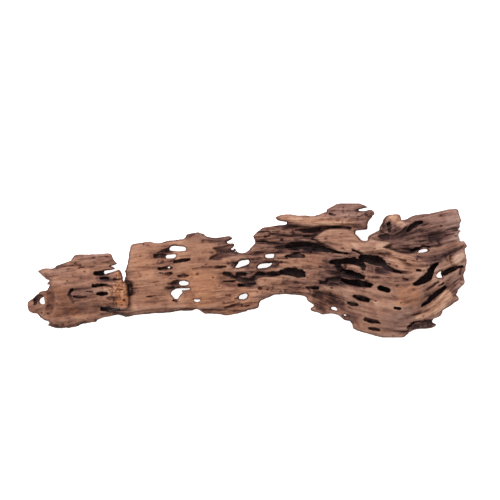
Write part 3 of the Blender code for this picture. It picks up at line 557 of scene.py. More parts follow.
    (5, -0.3, 0, 0.3, [(134, -6), (170, -6), (172, -24), (132, -26)]),
    (5, -0.4, 0.2, 0.2, [(126, -52), (174, -56), (178, -74), (130, -72)]),
    (5, -0.3, 0, 0.2, [(128, 22), (176, 20), (178, -24), (128, -20)]),
    (5, -0.55, 0, 0.5, [(156, 4), (201, 2), (206, -28), (174, -26)]),
    (5, -0.85, 0.3, 0.35, [(178, -74), (203, -81), (200, -99), (174, -91)]),
    (2, 0.5, 0.1, 0, [(168, -8), (198, -13), (222, -17), (222, -20), (198, -17), (168, -13)]),
    (4, -0.3, 0, 0.1, [(200, 36), (204, 48), (226, 48), (226, 30)]),
    (6, 0.28, 0.1, 0, [(200, -54), (232, -58), (234, -72), (204, -74)]),
    (4, 0.35, 0.1, 0, [(228, 50), (252, 48), (252, 28), (228, 32)]),
    (4, -0.45, 0, 0.4, [(228, 80), (238, 100), (248, 104), (248, 82)]),
    (5, -0.25, 0, 0.5, [(228, 8), (244, 4), (262, -4), (256, -10), (232, -6)]),
    (6, 0.55, 0.2, 0.1, [(224, -49), (285, -53), (288, -78), (234, -76)]),
    (5, -0.55, -0.1, 0.8, [(238, 66), (244, 82), (262, 84), (288, 78), (290, 62), (262, 52),
        (240, 56)]),
    (5, 0.65, 0.15, 0, [(250, 24), (278, 23), (284, 6), (265, 2), (254, 8)]),
    (8, 0.2, 0.15, 0.05, [(258, 40), (300, 22), (302, -6), (270, -2), (250, 16)]),
    (8, 0.25, 0.05, 0.1, [(246, -78), (300, -76), (300, -92), (262, -96)]),
    (6, -0.5, 0, 0.1, [(276, -50), (298, -52), (298, -74), (276, -74)]),
    (6, 0.1, 0.6, 0, [(270, -28), (304, -26), (312, -50), (300, -64), (268, -60)]),
    (5, -0.45, 0, 0.6, [(326, 1), (329, 22), (351, 25), (350, 6), (340, -3)]),
    (6, 0.7, 0.05, 0.2, [(326, -2), (347, 1), (351, -24), (333, -26)]),
    (6, -0.35, 0, 0.6, [(300, 26), (330, 34), (366, 46), (392, 48), (390, 34), (366, 30), (350, 16),
        (322, 8)]),
    (6, 0.45, 0, 0.1, [(350, 76), (392, 80), (394, 50), (352, 52)]),
    (5, -0.2, 0, 0.7, [(352, -12), (382, -2), (386, -30), (368, -34)]),
    (3, -0.5, 0, 0.6, [(352, -32), (366, -34), (386, -30), (384, -40), (372, -44)]),
    (7, 0.4, 0, 0.1, [(354, 109), (393, 112), (393, 54), (366, 57)]),
    (6, 0.2, 0, 0.2, [(372, 0), (392, 4), (392, -40), (374, -34)]),
    # lighter, taking back the painted rim shade at the right end
    (5, 0.4, 0, 0, [(376, 108), (400, 110), (400, -44), (378, -36), (376, 10)]),
    (6, 0.25, 0, 0.1, [(380, -26), (396, -26), (392, -52), (378, -50)]),
]

# ---------------------------------------------------------------- weathering
# How far the grain is smeared along the fibres: fine, medium and coarse streaks, and the cloud.
GRAIN_REACH = (10.0, 22.0, 36.0, 14.0)
SHORT_REACH = (0.0, 2.0, 4.0, 9.0)      # the same for the pitting
BROAD_REACH = (0.0, 0.0, 62.0, 9.0)     # and for the broad ridges
TOP_RELIEF = (0.35, 0.55, 0.9, 1.3)     # height of the fine, medium, coarse and broad streaks
UNDER_RELIEF = (0.5, 0.9, 1.2, 1.4)     # the same on the underside, with the cloud last
LEAST_GRAIN = 0.28                      # strength of the grain on a smooth face
ROUGH_GRAIN = 0.95                      # and what full roughness adds
CLOUD_HEIGHT = 0.7
CRUMB_HEIGHT = 1.1
GROOVE_DEPTH = 2.4
PITTING_DEPTH = 2.6
CRACK_DEPTH = 2.2
EDGE_THINNING = 6.0                     # how far in from the outline the wood is worn thinner
TOP_LOSS = 0.16                         # and the share of its thickness lost above
UNDER_LOSS = 0.28                       # and below
EDGE_ROUNDING = 2.4
LEDGE_COLUMNS = 256                     # the walls' ledges change from column to column
LEDGE_LENGTH = 6.0                      # width of one column along the fibres
LEDGE_DEPTH = 0.54                      # how far the ledges stand out of the walls
TONE_LAYERS = 400
TONE_SPAN = (-10.0, 100.0)              # heights of the lowest and highest of those layers
RELAX_ROUNDS = 2
RELAX_STRENGTH = 0.35

# ---------------------------------------------------------------- pits
PIN_DEPTH = 6.0
RIM_WEAR = 2.6                          # how far the rim of a slot is worn back
RIM_DEPTH = 3.2                         # and how deep that wear reaches
FULL_SLOT = 8.0                         # narrower slots have less worn rims
LIP_DEPTHS = (3.0, 9.0)                 # the undercut grows between these depths
FLOOR_SWING = 13.0                      # the most that an uneven floor varies
FLOOR_ROUNDING = 2.5
SLOT_SURROUND = 6.0
NEAT_LIP = 0.35                         # short undercut slots have less ragged rims
HALO_SHADE_DEPTH = 16.0                      # slots this deep have the full painted shade round them
# how far the painted shade reaches out from a slot
HALO_SHADE_REACH = 4.5

# ---------------------------------------------------------------- colour
LEAST_THICKNESS = 3.0                   # guards the share of the height where the wood is thin
WALL_DEPTHS = (1.0, 4.0)                # walls fade into the faces this far in from the edge
PIT_SURROUND = (2.0, 5.0)               # the painted shade of the pits fades out this far outside them
DARK_DEPTHS = (1.5, 17.0)               # and grows between these depths
WALL_TONE = 0.512
# strength of the painted shade along the outline, where the edges roll under
RIM_SHADE = 0.50
# strength of the painted shade round the slots and holes
HALO_SHADE = 0.34
SPECK_SCALE = 420.0                     # fine specks of the material itself
SPECK_TONE = 0.30
MIDDLE_TONE = 0.32
# In the tone, hollow and wide paint shade into hollows and a highlight onto ridges, and groove paints
# shade into the grooves, pits and cracks.
TONE_WEIGHTS = {
    "fine": 0.06, "medium": 0.055, "coarse": 0.055, "cloud": 0.045,
    "light": 0.40, "groove": -0.38, "hollow": -0.24, "wide": -0.22,
}
WOOD_SHADES = [      # place on the ramp and display colour, from painted shade in hollows to painted highlight on ridges
    (0.0, (50, 28, 24)), (0.2, (86, 55, 46)), (0.42, (123, 86, 71)),
    (0.62, (148, 109, 91)), (0.82, (167, 129, 110)), (1.0, (182, 149, 130)),
]
# (attribute, weight, colour that multiplies the wood's own)
TINTS = [("warm", 0.75, (1.25, 0.98, 0.62, 1.0)), ("mauve", 0.8, (0.84, 0.89, 1.03, 1.0))]
PIT_SHADE = (41, 28, 31)                # display colour of the painted shade deep in the pits

# ---------------------------------------------------------------- studio, in metres
FLOOR_SIZE = 30.0
FLOOR_GAP = 0.0002
FRAME_WIDTH = 0.900                     # what the camera sees at the framed level
FRAMED_LEVEL = 0.024
FRAME_MIDDLE = (0.0054, 0.0369)
CAMERA_HEIGHT = 10.0
WORLD_STRENGTH = 0.75
KEY_PLACE = (-1.0, 1.8, 2.8)
KEY_SIZE = 1.2
KEY_POWER = 95.0


# ---------------------------------------------------------------- plan maps
def plan_grid():
    """Grid lines in X, Y and Z, in millimetres, round the CAD model's box."""
    low, high = (np.array(corner) / MM for corner in CAD_BOX)
    lines = []
    for start, end in zip(low, high):
        count = int(math.ceil((end - start + 2 * MARGIN) / VOXEL)) + 1
        middle = (start + end) / 2
        lines.append(middle + (np.arange(count) - (count - 1) / 2) * VOXEL)
    return lines


def blur(image, radius):
    """Gaussian blur by the Fourier transform, mirrored at the borders."""
    pad = int(3 * radius) + 1
    padded = np.pad(image, pad, mode="reflect" if pad < min(image.shape) else "edge")
    fx = np.fft.fftfreq(padded.shape[0])[:, None]
    fy = np.fft.rfftfreq(padded.shape[1])[None, :]
    kernel = np.exp(-2 * (math.pi * radius) ** 2 * (fx ** 2 + fy ** 2))
    smooth = np.fft.irfft2(np.fft.rfft2(padded) * kernel, s=padded.shape)
    return smooth[pad:-pad, pad:-pad]


def signed_distance(points, x, y):
    """Distance to a closed polygon, positive inside."""
    corners = np.array(points, dtype=float)
    nearest = np.full(x.shape, FAR)
    inside = np.zeros(x.shape, dtype=bool)
    for start, end in zip(corners, np.roll(corners, -1, axis=0)):
        run = end - start
        along = ((x - start[0]) * run[0] + (y - start[1]) * run[1]) / max(run @ run, 1e-9)
        along = np.clip(along, 0.0, 1.0)
        gap = (x - start[0] - along * run[0]) ** 2 + (y - start[1] - along * run[1]) ** 2
        nearest = np.minimum(nearest, gap)
        if start[1] != end[1]:
            crossing = (start[1] > y) != (end[1] > y)
            at = start[0] + (y - start[1]) * run[0] / run[1]
            inside ^= crossing & (x < at)
    return np.where(inside, 1.0, -1.0) * np.sqrt(nearest)


def route_distance(route, x, y):
    """Distance outside a chain of tapering round-ended strokes; negative inside."""
    best = np.full(x.shape, FAR)
    for (ax, ay, aw), (bx, by, bw) in zip(route, route[1:]):
        run = (bx - ax, by - ay)
        length = max(run[0] ** 2 + run[1] ** 2, 1e-9)
        along = np.clip(((x - ax) * run[0] + (y - ay) * run[1]) / length, 0.0, 1.0)
        gap = np.hypot(x - ax - along * run[0], y - ay - along * run[1])
        best = np.minimum(best, gap - (aw + (bw - aw) * along) / 2)
    return best


def smoothstep(low, high, value):
    """0 below low, 1 above high."""
    t = np.clip((value - low) / (high - low), 0.0, 1.0)
    return t * t * (3 - 2 * t)


def from_stations(stations, x, y, radius, columns):
    """Weighted mean of station values at every grid point."""
    table = np.array(stations, dtype=float)
    total = np.zeros(x.shape)
    values = [np.zeros(x.shape) for _ in columns]
    for row in table:
        away = (x - row[0]) ** 2 + (y - row[1]) ** 2
        weight = np.exp(-away / (2 * radius ** 2)) + 1e-9 / (1 + away)
        total += weight
        for value, column in zip(values, columns):
            value += weight * row[column]
    return [value / total for value in values]


def contains(points, x, y):
    """Whether one point lies in a polygon."""
    return signed_distance(points, np.array([float(x)]), np.array([float(y)]))[0] > 0


def base_heights(x, y):
    """Top and underside, each zone shaped by its own stations and joined by a step."""
    groups = [[] for _ in range(len(ZONES) + 1)]
    for station in STATIONS:
        home = next((i + 1 for i, zone in enumerate(ZONES) if contains(zone, *station[:2])), 0)
        groups[home].append(station)
    top, under = from_stations(groups[0], x, y, STATION_RADIUS, (2, 3))
    for zone, group in zip(ZONES, groups[1:]):
        zone_top, zone_under = from_stations(group, x, y, STATION_RADIUS, (2, 3))
        share = smoothstep(-ZONE_SOFT, ZONE_SOFT, signed_distance(zone, x, y))
        wide = smoothstep(-UNDER_SOFT, UNDER_SOFT, signed_distance(zone, x, y))
        top += (zone_top - top) * share
        under += (zone_under - under) * wide
    return top, under


def flow_field(x, y):
    """Unit vector along the fibres."""
    turned = [(fx, fy, math.cos(math.radians(a)), math.sin(math.radians(a))) for fx, fy, a in FLOW]
    along, across = from_stations(turned, x, y, FLOW_RADIUS, (2, 3))
    size = np.hypot(along, across)
    return along / size, across / size


def streaks(noise, along, across, reach):
    """Smear noise along the fibres: a line integral over reach grid steps each way."""
    nx, ny = noise.shape
    ix, iy = np.meshgrid(np.arange(nx, dtype=float), np.arange(ny, dtype=float), indexing="ij")
    total = noise.copy()
    for sense in (1.0, -1.0):
        px, py = ix.copy(), iy.copy()
        for _ in range(reach):
            cx = np.clip(np.rint(px).astype(int), 0, nx - 1)
            cy = np.clip(np.rint(py).astype(int), 0, ny - 1)
            px += sense * along[cx, cy]
            py += sense * across[cx, cy]
            total += sample(noise, px, py)
    total -= total.mean()
    return total / total.std()


def sample(image, px, py):
    """Bilinear look-up at fractional grid places."""
    px = np.clip(px, 0, image.shape[0] - 1.001)
    py = np.clip(py, 0, image.shape[1] - 1.001)
    ix, iy = px.astype(int), py.astype(int)
    fx, fy = px - ix, py - iy
    near = image[ix, iy] * (1 - fx) + image[ix + 1, iy] * fx
    far = image[ix, iy + 1] * (1 - fx) + image[ix + 1, iy + 1] * fx
    return near * (1 - fy) + far * fy


def grain_maps(along, across, seed, reach=GRAIN_REACH, coarse_width=5.5):
    """Fine, medium and coarse streaks and a soft cloud, each with unit spread."""
    rng = np.random.default_rng(seed)

    def layer(width, length):
        noise = rng.standard_normal(along.shape)
        if width > VOXEL:
            noise = blur(noise, width / VOXEL)
        return streaks(noise / noise.std(), along, across, int(length / VOXEL))

    fine = layer(0.0, reach[0])
    medium = layer(1.9, reach[1])
    coarse = layer(coarse_width, reach[2])
    cloud = blur(rng.standard_normal(along.shape), reach[3] / VOXEL)
    return fine, medium, coarse, cloud / cloud.std()


# ---------------------------------------------------------------- the field and its surface
def smooth_max(a, b, radius):
    """Maximum with its crease rounded."""
    return 0.5 * (a + b + np.sqrt((a - b) ** 2 + radius ** 2))


def carve(field, lines, plan, top, route, depth, undercut, wobble, uneven):
    """Cut one slot out of the field: worn rim, undercut wall and a round, uneven floor."""
    xs, ys, zs = lines
    widest = max(width for _, _, width in route)
    reach = widest / 2 + SLOT_SURROUND
    lows = [min(p[axis] for p in route) - reach for axis in (0, 1)]
    highs = [max(p[axis] for p in route) + reach for axis in (0, 1)]
    i0, i1 = np.searchsorted(xs, (lows[0], highs[0]))
    j0, j1 = np.searchsorted(ys, (lows[1], highs[1]))
    box = (slice(i0, i1), slice(j0, j1))
    gap = route_distance(route, plan[0][box], plan[1][box]) + wobble[box]
    below = top[box][:, :, None] - zs[None, None, :]
    breadth = min(1.0, widest / FULL_SLOT) ** 2
    worn = RIM_WEAR * breadth * np.exp(-np.maximum(below, 0.0) / RIM_DEPTH)
    lip = undercut * smoothstep(*LIP_DEPTHS, below)
    sides = gap[:, :, None] + 0.5 * breadth - worn - lip
    floor = below - depth * (1.0 - min(1.0, FLOOR_SWING / depth) * (1.0 - uneven[box][:, :, None]))
    hollow = smooth_max(sides, floor, FLOOR_ROUNDING)
    field[box] = np.maximum(field[box], -hollow)


def surface_nets(field, lines):
    """Vertices and quads of the zero level, negative inside."""
    inside = field < 0
    nx, ny, nz = field.shape
    corner_count = np.zeros((nx - 1, ny - 1, nz - 1), dtype=np.uint8)
    offsets = [(a, b, c) for a in (0, 1) for b in (0, 1) for c in (0, 1)]
    for a, b, c in offsets:
        corner_count += inside[a:nx - 1 + a, b:ny - 1 + b, c:nz - 1 + c]
    active = (corner_count > 0) & (corner_count < 8)
    cells = np.argwhere(active)
    index = np.full(active.shape, -1, dtype=np.int64)
    index[active] = np.arange(len(cells))
    values = [field[cells[:, 0] + a, cells[:, 1] + b, cells[:, 2] + c] for a, b, c in offsets]
    total = np.zeros((len(cells), 3))
    crossings = np.zeros(len(cells))
    for first in range(8):
        for second in range(first + 1, 8):
            step = np.subtract(offsets[second], offsets[first])
            if np.abs(step).sum() != 1:
                continue
            va, vb = values[first], values[second]
            cut = (va < 0) != (vb < 0)
            part = np.where(cut, va / np.where(cut, va - vb, 1.0), 0.0)
            place = np.array(offsets[first])[None, :] + part[:, None] * step[None, :]
            total += np.where(cut[:, None], place, 0.0)
            crossings += cut
    vertices = cells + total / crossings[:, None]
    quads = []
    for axis in range(3):
        u, v = (axis + 1) % 3, (axis + 2) % 3
        low = [slice(1, size - 1) for size in field.shape]
        high = list(low)
        low[axis] = slice(0, field.shape[axis] - 1)
        high[axis] = slice(1, field.shape[axis])
        here, there = inside[tuple(low)], inside[tuple(high)]
        for leaving in (True, False):
            edges = np.argwhere(here & ~there if leaving else ~here & there)
            base = edges + 1
            base[:, axis] = edges[:, axis]
            ring = []
            for du, dv in ((1, 1), (0, 1), (0, 0), (1, 0)):
                cell = base.copy()
                cell[:, u] -= du
                cell[:, v] -= dv
                ring.append(index[cell[:, 0], cell[:, 1], cell[:, 2]])
            ring = np.stack(ring if leaving else ring[::-1], axis=1)
            quads.append(ring)
    quads = np.concatenate(quads)
    origin = np.array([line[0] for line in lines])
    return origin + vertices * VOXEL, quads


def relax(vertices, quads, rounds, strength):
    """Even out the grid's stair steps."""
    edges = np.concatenate([quads[:, [i, (i + 1) % 4]] for i in range(4)])
    ends = ((edges[:, 0], edges[:, 1]), (edges[:, 1], edges[:, 0]))
    size = len(vertices)
    count = sum(np.bincount(here, minlength=size) for here, _ in ends)
    for _ in range(rounds):
        total = np.zeros_like(vertices)
        for axis in range(3):
            total[:, axis] = sum(np.bincount(here, vertices[there, axis], size) for here, there in ends)
        vertices = vertices + strength * (total / count[:, None] - vertices)
    return vertices


def largest_piece(vertices, quads):
    """Drop crumbs that the slots left floating."""
    label = np.arange(len(vertices))
    while True:
        lowest = label[quads].min(axis=1)
        new = label.copy()
        for side in range(4):
            np.minimum.at(new, quads[:, side], lowest)
        new = new[new]
        if np.array_equal(new, label):
            break
        label = new
    names, counts = np.unique(label, return_counts=True)
    keep = label == names[counts.argmax()]
    number = np.cumsum(keep) - 1
    return vertices[keep], number[quads[keep[quads[:, 0]]]]


def unit_noise(shape, seed, radius):
    """Soft noise with unit spread."""
    noise = blur(np.random.default_rng(seed).standard_normal(shape), radius / VOXEL)
    return noise / noise.std()


def blend(weights, maps):
    """Weighted sum of maps."""
    return sum(weight * one for weight, one in zip(weights, maps))


def weathering(x, y):
    """The plan maps of grain and wear that the shape and the colour share."""
    m = SimpleNamespace(x=x, y=y)
    m.along, m.across = flow_field(x, y)

    def grain(offset, *settings):
        return grain_maps(m.along, m.across, SEED + offset, *settings)

    m.fine, m.medium, m.coarse, m.cloud = grain(0)
    m.under = grain(1)
    m.short = grain(3, SHORT_REACH)[1]
    m.broad = grain(5, BROAD_REACH, 9.0)[2]
    m.mottle = unit_noise(x.shape, SEED + 4, 3.5)
    crumbs = unit_noise(x.shape, SEED + 6, 2.1)

    # Edges follow the outline with a little natural raggedness along the fibres.
    m.ragged = blend((0.35, 0.25), (m.medium, m.fine))
    m.outer = signed_distance(OUTLINE, x, y)
    m.edge = m.outer + EDGE_GROWTH + 0.5 * m.ragged
    for hole in HOLES:
        m.edge = np.minimum(m.edge, -signed_distance(hole, x, y))

    rough = np.clip(from_stations(ROUGH, x, y, ROUGH_RADIUS, (2,))[0], 0.0, 1.0)
    m.strength = LEAST_GRAIN + ROUGH_GRAIN * rough
    m.groove = rough * (smoothstep(0.5, 2.2, -m.medium) + 0.5 * smoothstep(0.8, 2.2, -m.fine))
    m.pitting = smoothstep(1.5, 2.4, m.short) * rough
    crumble = np.zeros(x.shape)
    for points in CRUMBLE:
        crumble = np.maximum(crumble, smoothstep(-2.0, 4.0, signed_distance(points, x, y) + m.mottle))
    m.crumbs = crumble * crumbs
    m.cracks = smoothstep(0.34, 0.06, np.abs(crumbs + 0.4 * m.medium)) * crumble
    return m


def worn_faces(m):
    """Top and underside with their wear, and the top as it was before."""
    top, under = base_heights(m.x, m.y)
    for lift, soft, points in PLATES:
        top += lift * smoothstep(-soft, soft, signed_distance(points, m.x, m.y) + 0.8 * m.ragged)
    smooth_top = top.copy()
    top += m.strength * blend(TOP_RELIEF, (m.fine, m.medium, m.coarse, m.broad)) + CLOUD_HEIGHT * m.cloud
    top += CRUMB_HEIGHT * m.crumbs
    top -= blend((GROOVE_DEPTH, PITTING_DEPTH, CRACK_DEPTH), (m.groove, m.pitting, m.cracks))
    under += blend(UNDER_RELIEF, m.under)
    thickness = top - under
    lost = np.exp(-np.maximum(m.outer, 0.0) / EDGE_THINNING)
    top -= TOP_LOSS * lost * thickness
    under += UNDER_LOSS * lost * thickness
    return top, under, smooth_top


def wall_layers(levels):
    """Noise for the level layers of the walls: ledges by column, and one stack of tones."""
    rng = np.random.default_rng(SEED + 2)
    ledges = blur(rng.standard_normal((LEDGE_COLUMNS, levels)), 0.8)
    tones = blur(rng.standard_normal((TONE_LAYERS, 3)), 1.0)[:, 1]
    return ledges / ledges.std(), tones / tones.std()


def uncut_field(lines, m, top, under, ledges):
    """The wood between its two faces, inside the outline and the CAD model's box."""
    zs = lines[2]
    column = ((m.along * m.x + m.across * m.y) / LEDGE_LENGTH + 3.0 * m.coarse).astype(int)
    ledge = LEDGE_DEPTH * ledges[column % LEDGE_COLUMNS]
    field = np.maximum(zs[None, None, :] - top[:, :, None], under[:, :, None] - zs[None, None, :])
    field = smooth_max(field, ledge - m.edge[:, :, None], EDGE_ROUNDING)
    for axis, (line, low, high) in enumerate(zip(lines, *CAD_BOX)):
        beyond = np.maximum(low / MM - line, line - high / MM)
        field = np.maximum(field, beyond.reshape([-1 if k == axis else 1 for k in range(3)]))
    return field


def cut_pits(field, lines, m, top):
    """Cut the slots and worm holes; gives the distance to the nearest pit and the painted shade round
    it.
    """
    plan = (m.x, m.y)
    wobble = blend((0.55, 0.35, 0.3), (m.medium, m.fine, m.short))
    uneven = 0.78 + 0.22 * np.clip(0.7 * m.coarse + 0.7 * m.mottle, -1.5, 1.0)
    pit_gap = np.full(m.x.shape, FAR)
    halo = np.zeros(m.x.shape)
    for depth, undercut, route in SLOTS:
        neat = undercut >= 1.0 and len(route) < 4
        lip = wobble * (NEAT_LIP if neat else 1.0)
        carve(field, lines, plan, top, route, depth, undercut, lip, uneven)
        distance = route_distance(route, *plan) + lip
        pit_gap = np.minimum(pit_gap, distance)
        # Painted shade round the slot, stronger for deeper slots.
        painted_shade = min(1.0, depth / HALO_SHADE_DEPTH) * np.exp(-np.maximum(distance, 0.0) / HALO_SHADE_REACH)
        halo = np.maximum(halo, painted_shade)
    for px, py, width in PINS:
        route = [(px - 0.5, py, width), (px + 0.5, py, width)]
        carve(field, lines, plan, top, route, PIN_DEPTH, 0.0, np.zeros(m.x.shape), uneven)
        pit_gap = np.minimum(pit_gap, route_distance(route, *plan))
    for hole in HOLES:
        distance = -signed_distance(hole, *plan)
        pit_gap = np.minimum(pit_gap, distance)
        # Painted shade round the through holes.
        halo = np.maximum(halo, 0.7 * np.exp(-np.maximum(distance, 0.0) / 3.0))
    return pit_gap, halo * (0.75 + 0.35 * np.clip(m.mottle, -1.5, 1.5))


def upper_surface(field, zs):
    """Height of the highest wood over each place of the plan, 0 where there is none."""
    solid = field < 0
    topmost = solid.shape[2] - 1 - solid[:, :, ::-1].argmax(axis=2)
    return np.where(solid.any(axis=2), zs[0] + topmost * VOXEL, 0.0)


def painted_areas(m):
    """How light, warm and mauve the upper face is, from the listed areas."""
    light, warm, mauve = (np.zeros(m.x.shape) for _ in range(3))
    tearing = blend((1.2, 0.8, 1.0), (m.medium, m.short, m.mottle))
    for soft, more_light, more_warm, more_mauve, points in PATCHES:
        share = smoothstep(-soft, soft, signed_distance(points, m.x, m.y) + tearing)
        # light: the wood's own tone, with painted shade where the areas copy shadows
        light += share * more_light
        warm += share * more_warm
        mauve += share * more_mauve
    return light, warm, mauve


def build_shape():
    """The whole surface with the attributes that its material reads."""
    lines = plan_grid()
    xs, ys, zs = lines
    m = weathering(*np.meshgrid(xs, ys, indexing="ij"))
    top, under, smooth_top = worn_faces(m)
    ledges, tones = wall_layers(len(zs))
    field = uncut_field(lines, m, top, under, ledges)
    pit_gap, halo = cut_pits(field, lines, m, top)

    vertices, quads = surface_nets(field, lines)
    vertices = relax(vertices, quads, RELAX_ROUNDS, RELAX_STRENGTH)
    vertices, quads = largest_piece(vertices, quads)
    gx = (vertices[:, 0] - xs[0]) / VOXEL
    gy = (vertices[:, 1] - ys[0]) / VOXEL
    height = vertices[:, 2]

    def at(plan_map):
        return sample(plan_map, gx, gy)

    # Three shares: the upper face against the underside, the walls, and the depth inside a pit.
    lowest = np.maximum(under, 0.0)
    rise = height - at(lowest)
    upper = smoothstep(0.25, 0.75, rise / at(np.maximum(top - lowest, LEAST_THICKNESS)))
    wall = 1.0 - smoothstep(*WALL_DEPTHS, at(m.edge))
    near_pit = 1.0 - smoothstep(*PIT_SURROUND, at(pit_gap))
    deep = smoothstep(*DARK_DEPTHS, at(smooth_top) - height)
    seen = upper_surface(field, zs)

    def hollow(radius, full):
        """How far the surface lies below its surroundings, negative on ridges; it paints shade into
        hollows and a highlight onto ridges.
        """
        return np.clip(at(blur(seen, radius / VOXEL) - seen) / full, -0.45, 1) * upper * (1 - wall)

    # On the walls the fibres lie in level layers instead of following the plan.
    level = height + 2.5 * at(m.cloud) + 1.2 * at(m.mottle)
    strata = WALL_TONE * np.interp(level, np.linspace(*TONE_SPAN, TONE_LAYERS), tones)

    def grain(above, below):
        flat = at(above) * upper + at(below) * (1 - upper)
        return flat * (1 - wall) + strata * wall

    light, warm, mauve = painted_areas(m)
    # Painted shade along the outline, where the edges roll under.
    rim = np.exp(-np.maximum(m.outer, 0.0) / 3.5)
    # Grooves, pits and cracks are darkened in colour: painted shade in these creases.
    groove = np.clip(0.7 * m.groove + m.pitting + m.cracks, 0, 1)
    attributes = {
        # dark: painted shade deep in the slots and pits
        "dark": deep * near_pit * smoothstep(1.0, 4.0, rise),
        # groove: painted shade in the grooves, pits and cracks
        "groove": at(groove) * upper * (1 - wall),
        # hollow and wide: painted shade in hollows, painted highlight on ridges
        "hollow": hollow(3.0, 6.0),
        "wide": hollow(9.0, 14.0),
        # light: the painted areas, less the painted shade along the rims and round the slots and holes
        "light": at(light - RIM_SHADE * rim - HALO_SHADE * halo) * upper,
        "warm": at(warm) * upper,
        "mauve": at(mauve) * upper,
        "fine": grain(m.strength * m.fine, m.under[0]),
        "medium": grain(m.strength * m.medium, m.under[1]),
        "coarse": grain(m.strength * blend((0.7, 0.8), (m.coarse, m.broad)), m.under[2]),
        "cloud": grain(blend((0.6, 0.6), (m.cloud, m.mottle)), m.under[3]),
    }
    return vertices * MM, quads, attributes


def make_mesh(vertices, quads, attributes):
    """One Blender mesh with its attributes."""
    mesh = bpy.data.meshes.new("driftwood_surface")
    mesh.vertices.add(len(vertices))
    mesh.vertices.foreach_set("co", vertices.astype(np.float32).ravel())
    mesh.loops.add(quads.size)
    mesh.loops.foreach_set("vertex_index", quads.astype(np.int32).ravel())
    mesh.polygons.add(len(quads))
    mesh.polygons.foreach_set("loop_start", (np.arange(len(quads)) * 4).astype(np.int32))
    mesh.polygons.foreach_set("use_smooth", np.ones(len(quads), dtype=bool))
    mesh.update(calc_edges=True)
    mesh.validate()
    for name, values in attributes.items():
        layer = mesh.attributes.new(name, "FLOAT", "POINT")
        layer.data.foreach_set("value", values.astype(np.float32))
    piece = bpy.data.objects.new("driftwood_surface", mesh)
    bpy.context.scene.collection.objects.link(piece)
    return piece


# ---------------------------------------------------------------- material
class Nodes:
    """Short ways to add and join shader nodes."""

    def __init__(self, name):
        self.material = bpy.data.materials.new(name)
        self.material.use_nodes = True
        self.tree = self.material.node_tree
        self.shader = self.tree.nodes["Principled BSDF"]

    def link(self, source, target):
        self.tree.links.new(source, target)

    def attribute(self, name):
        node = self.tree.nodes.new("ShaderNodeAttribute")
        node.attribute_name = name
        return node.outputs["Fac"]

    def math(self, operation, a, b=0.0, clamp=False):
        node = self.tree.nodes.new("ShaderNodeMath")
        node.operation = operation
        node.use_clamp = clamp
        for socket, value in zip(node.inputs, (a, b)):
            if isinstance(value, (int, float)):
                socket.default_value = value
            else:
                self.link(value, socket)
        return node.outputs[0]

    def mix(self, share, a, b, blend="MIX"):
        node = self.tree.nodes.new("ShaderNodeMix")
        node.data_type = "RGBA"
        node.blend_type = blend
        node.clamp_factor = True
        for socket, value in ((node.inputs[0], share), (node.inputs[6], a), (node.inputs[7], b)):
            if isinstance(value, (int, float, tuple)):
                socket.default_value = value
            else:
                self.link(value, socket)
        return node.outputs[2]

    def ramp(self, value, stops):
        node = self.tree.nodes.new("ShaderNodeValToRGB")
        elements = node.color_ramp.elements
        while len(elements) < len(stops):
            elements.new(0.5)
        for element, (place, colour) in zip(elements, stops):
            element.position = place
            element.color = colour
        self.link(value, node.inputs[0])
        return node.outputs[0]

    def noise(self, scale, detail, stretch):
        place = self.tree.nodes.new("ShaderNodeTexCoord")
        mapping = self.tree.nodes.new("ShaderNodeMapping")
        mapping.inputs["Scale"].default_value = stretch
        self.link(place.outputs["Object"], mapping.inputs["Vector"])
        node = self.tree.nodes.new("ShaderNodeTexNoise")
        node.inputs["Scale"].default_value = scale
        node.inputs["Detail"].default_value = detail
        self.link(mapping.outputs[0], node.inputs["Vector"])
        return node.outputs[0]


def srgb(red, green, blue):
    """A colour given as 0 to 255 display values."""
    def linear(value):
        value /= 255.0
        return value / 12.92 if value <= 0.04045 else ((value + 0.055) / 1.055) ** 2.4
    return (linear(red), linear(green), linear(blue), 1.0)


def wood_material():
    """Weathered wood: streaks along the fibres, stains, a painted highlight on ridges and painted shade
    in hollows and pits.
    """
    n = Nodes("weathered_driftwood")
    speck = n.noise(SPECK_SCALE, 3.0, (0.35, 1.0, 1.0))
    tone = n.math("MULTIPLY", speck, SPECK_TONE)
    for name, weight in TONE_WEIGHTS.items():
        tone = n.math("ADD", tone, n.math("MULTIPLY", n.attribute(name), weight))
    tone = n.math("ADD", tone, MIDDLE_TONE, clamp=True)
    colour = n.ramp(tone, [(place, srgb(*shade)) for place, shade in WOOD_SHADES])
    for name, weight, tint in TINTS:
        share = n.math("MULTIPLY", n.attribute(name), weight, clamp=True)
        colour = n.mix(share, colour, n.mix(1.0, colour, tint, "MULTIPLY"))
    # Painted shade deep in the slots and pits.
    dark = n.math("MULTIPLY", n.attribute("dark"), 0.93, clamp=True)
    colour = n.mix(dark, colour, srgb(*PIT_SHADE))
    n.link(colour, n.shader.inputs["Base Color"])
    n.shader.inputs["Roughness"].default_value = 0.82
    n.shader.inputs["Specular IOR Level"].default_value = 0.25
    bump = n.tree.nodes.new("ShaderNodeBump")
    bump.inputs["Strength"].default_value = 0.5
    bump.inputs["Distance"].default_value = 0.0018
    height = n.math("ADD", n.math("MULTIPLY", n.attribute("fine"), 0.25), speck)
    n.link(height, bump.inputs["Height"])
    n.link(bump.outputs[0], n.shader.inputs["Normal"])
    return n.material


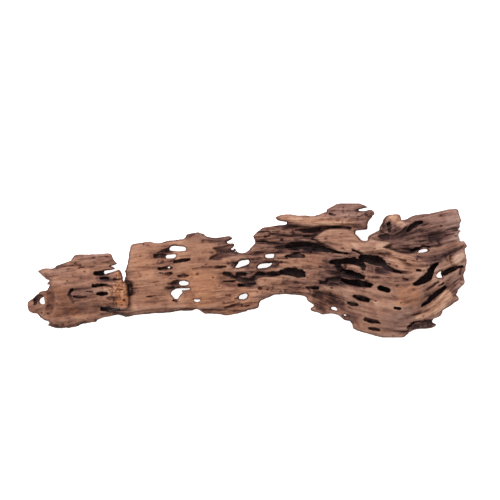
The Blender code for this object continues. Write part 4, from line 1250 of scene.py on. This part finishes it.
def floor_material():
    """Plain pale studio floor."""
    n = Nodes("studio_floor")
    n.shader.inputs["Base Color"].default_value = (0.93, 0.93, 0.93, 1.0)
    n.shader.inputs["Roughness"].default_value = 0.9
    n.shader.inputs["Emission Color"].default_value = (1.0, 1.0, 1.0, 1.0)
    n.shader.inputs["Emission Strength"].default_value = 0.85
    return n.material


# ---------------------------------------------------------------- studio
def add_floor():
    """A wide pale floor at the foot of the wood."""
    place = (0.0, 0.0, CAD_BOX[0][2] - FLOOR_GAP)
    bpy.ops.mesh.primitive_plane_add(size=FLOOR_SIZE, location=place)
    floor = bpy.context.object
    floor.name = "studio_floor"
    floor.data.materials.append(floor_material())


def add_area_light(name, place, size, power):
    """A soft light aimed at the wood."""
    lamp = bpy.data.lights.new(name, "AREA")
    lamp.shape = "DISK"
    lamp.size = size
    lamp.energy = power
    holder = bpy.data.objects.new(name, lamp)
    holder.location = place
    aim = -holder.location.normalized()
    holder.rotation_euler = aim.to_track_quat("-Z", "Y").to_euler()
    bpy.context.scene.collection.objects.link(holder)


def add_camera():
    """Looking straight down through a long lens, with the wood across most of the frame."""
    lens = bpy.data.cameras.new("camera")
    lens.sensor_width = 36.0
    lens.lens = lens.sensor_width * (CAMERA_HEIGHT - FRAMED_LEVEL) / FRAME_WIDTH
    lens.clip_end = 100.0
    camera = bpy.data.objects.new("camera", lens)
    camera.location = (*FRAME_MIDDLE, CAMERA_HEIGHT)
    bpy.context.scene.collection.objects.link(camera)
    bpy.context.scene.camera = camera


def add_studio():
    """World, lights, floor and camera."""
    world = bpy.data.worlds.new("studio")
    world.use_nodes = True
    world.node_tree.nodes["Background"].inputs["Color"].default_value = (1.0, 1.0, 1.0, 1.0)
    world.node_tree.nodes["Background"].inputs["Strength"].default_value = WORLD_STRENGTH
    bpy.context.scene.world = world
    bpy.context.scene.view_settings.view_transform = "Standard"
    add_area_light("key", KEY_PLACE, KEY_SIZE, KEY_POWER)
    add_floor()
    add_camera()


add_studio()
vertices, quads, attributes = build_shape()
wood = make_mesh(vertices, quads, attributes)
wood.data.materials.append(wood_material())
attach(wood, "root")
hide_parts(NODE)
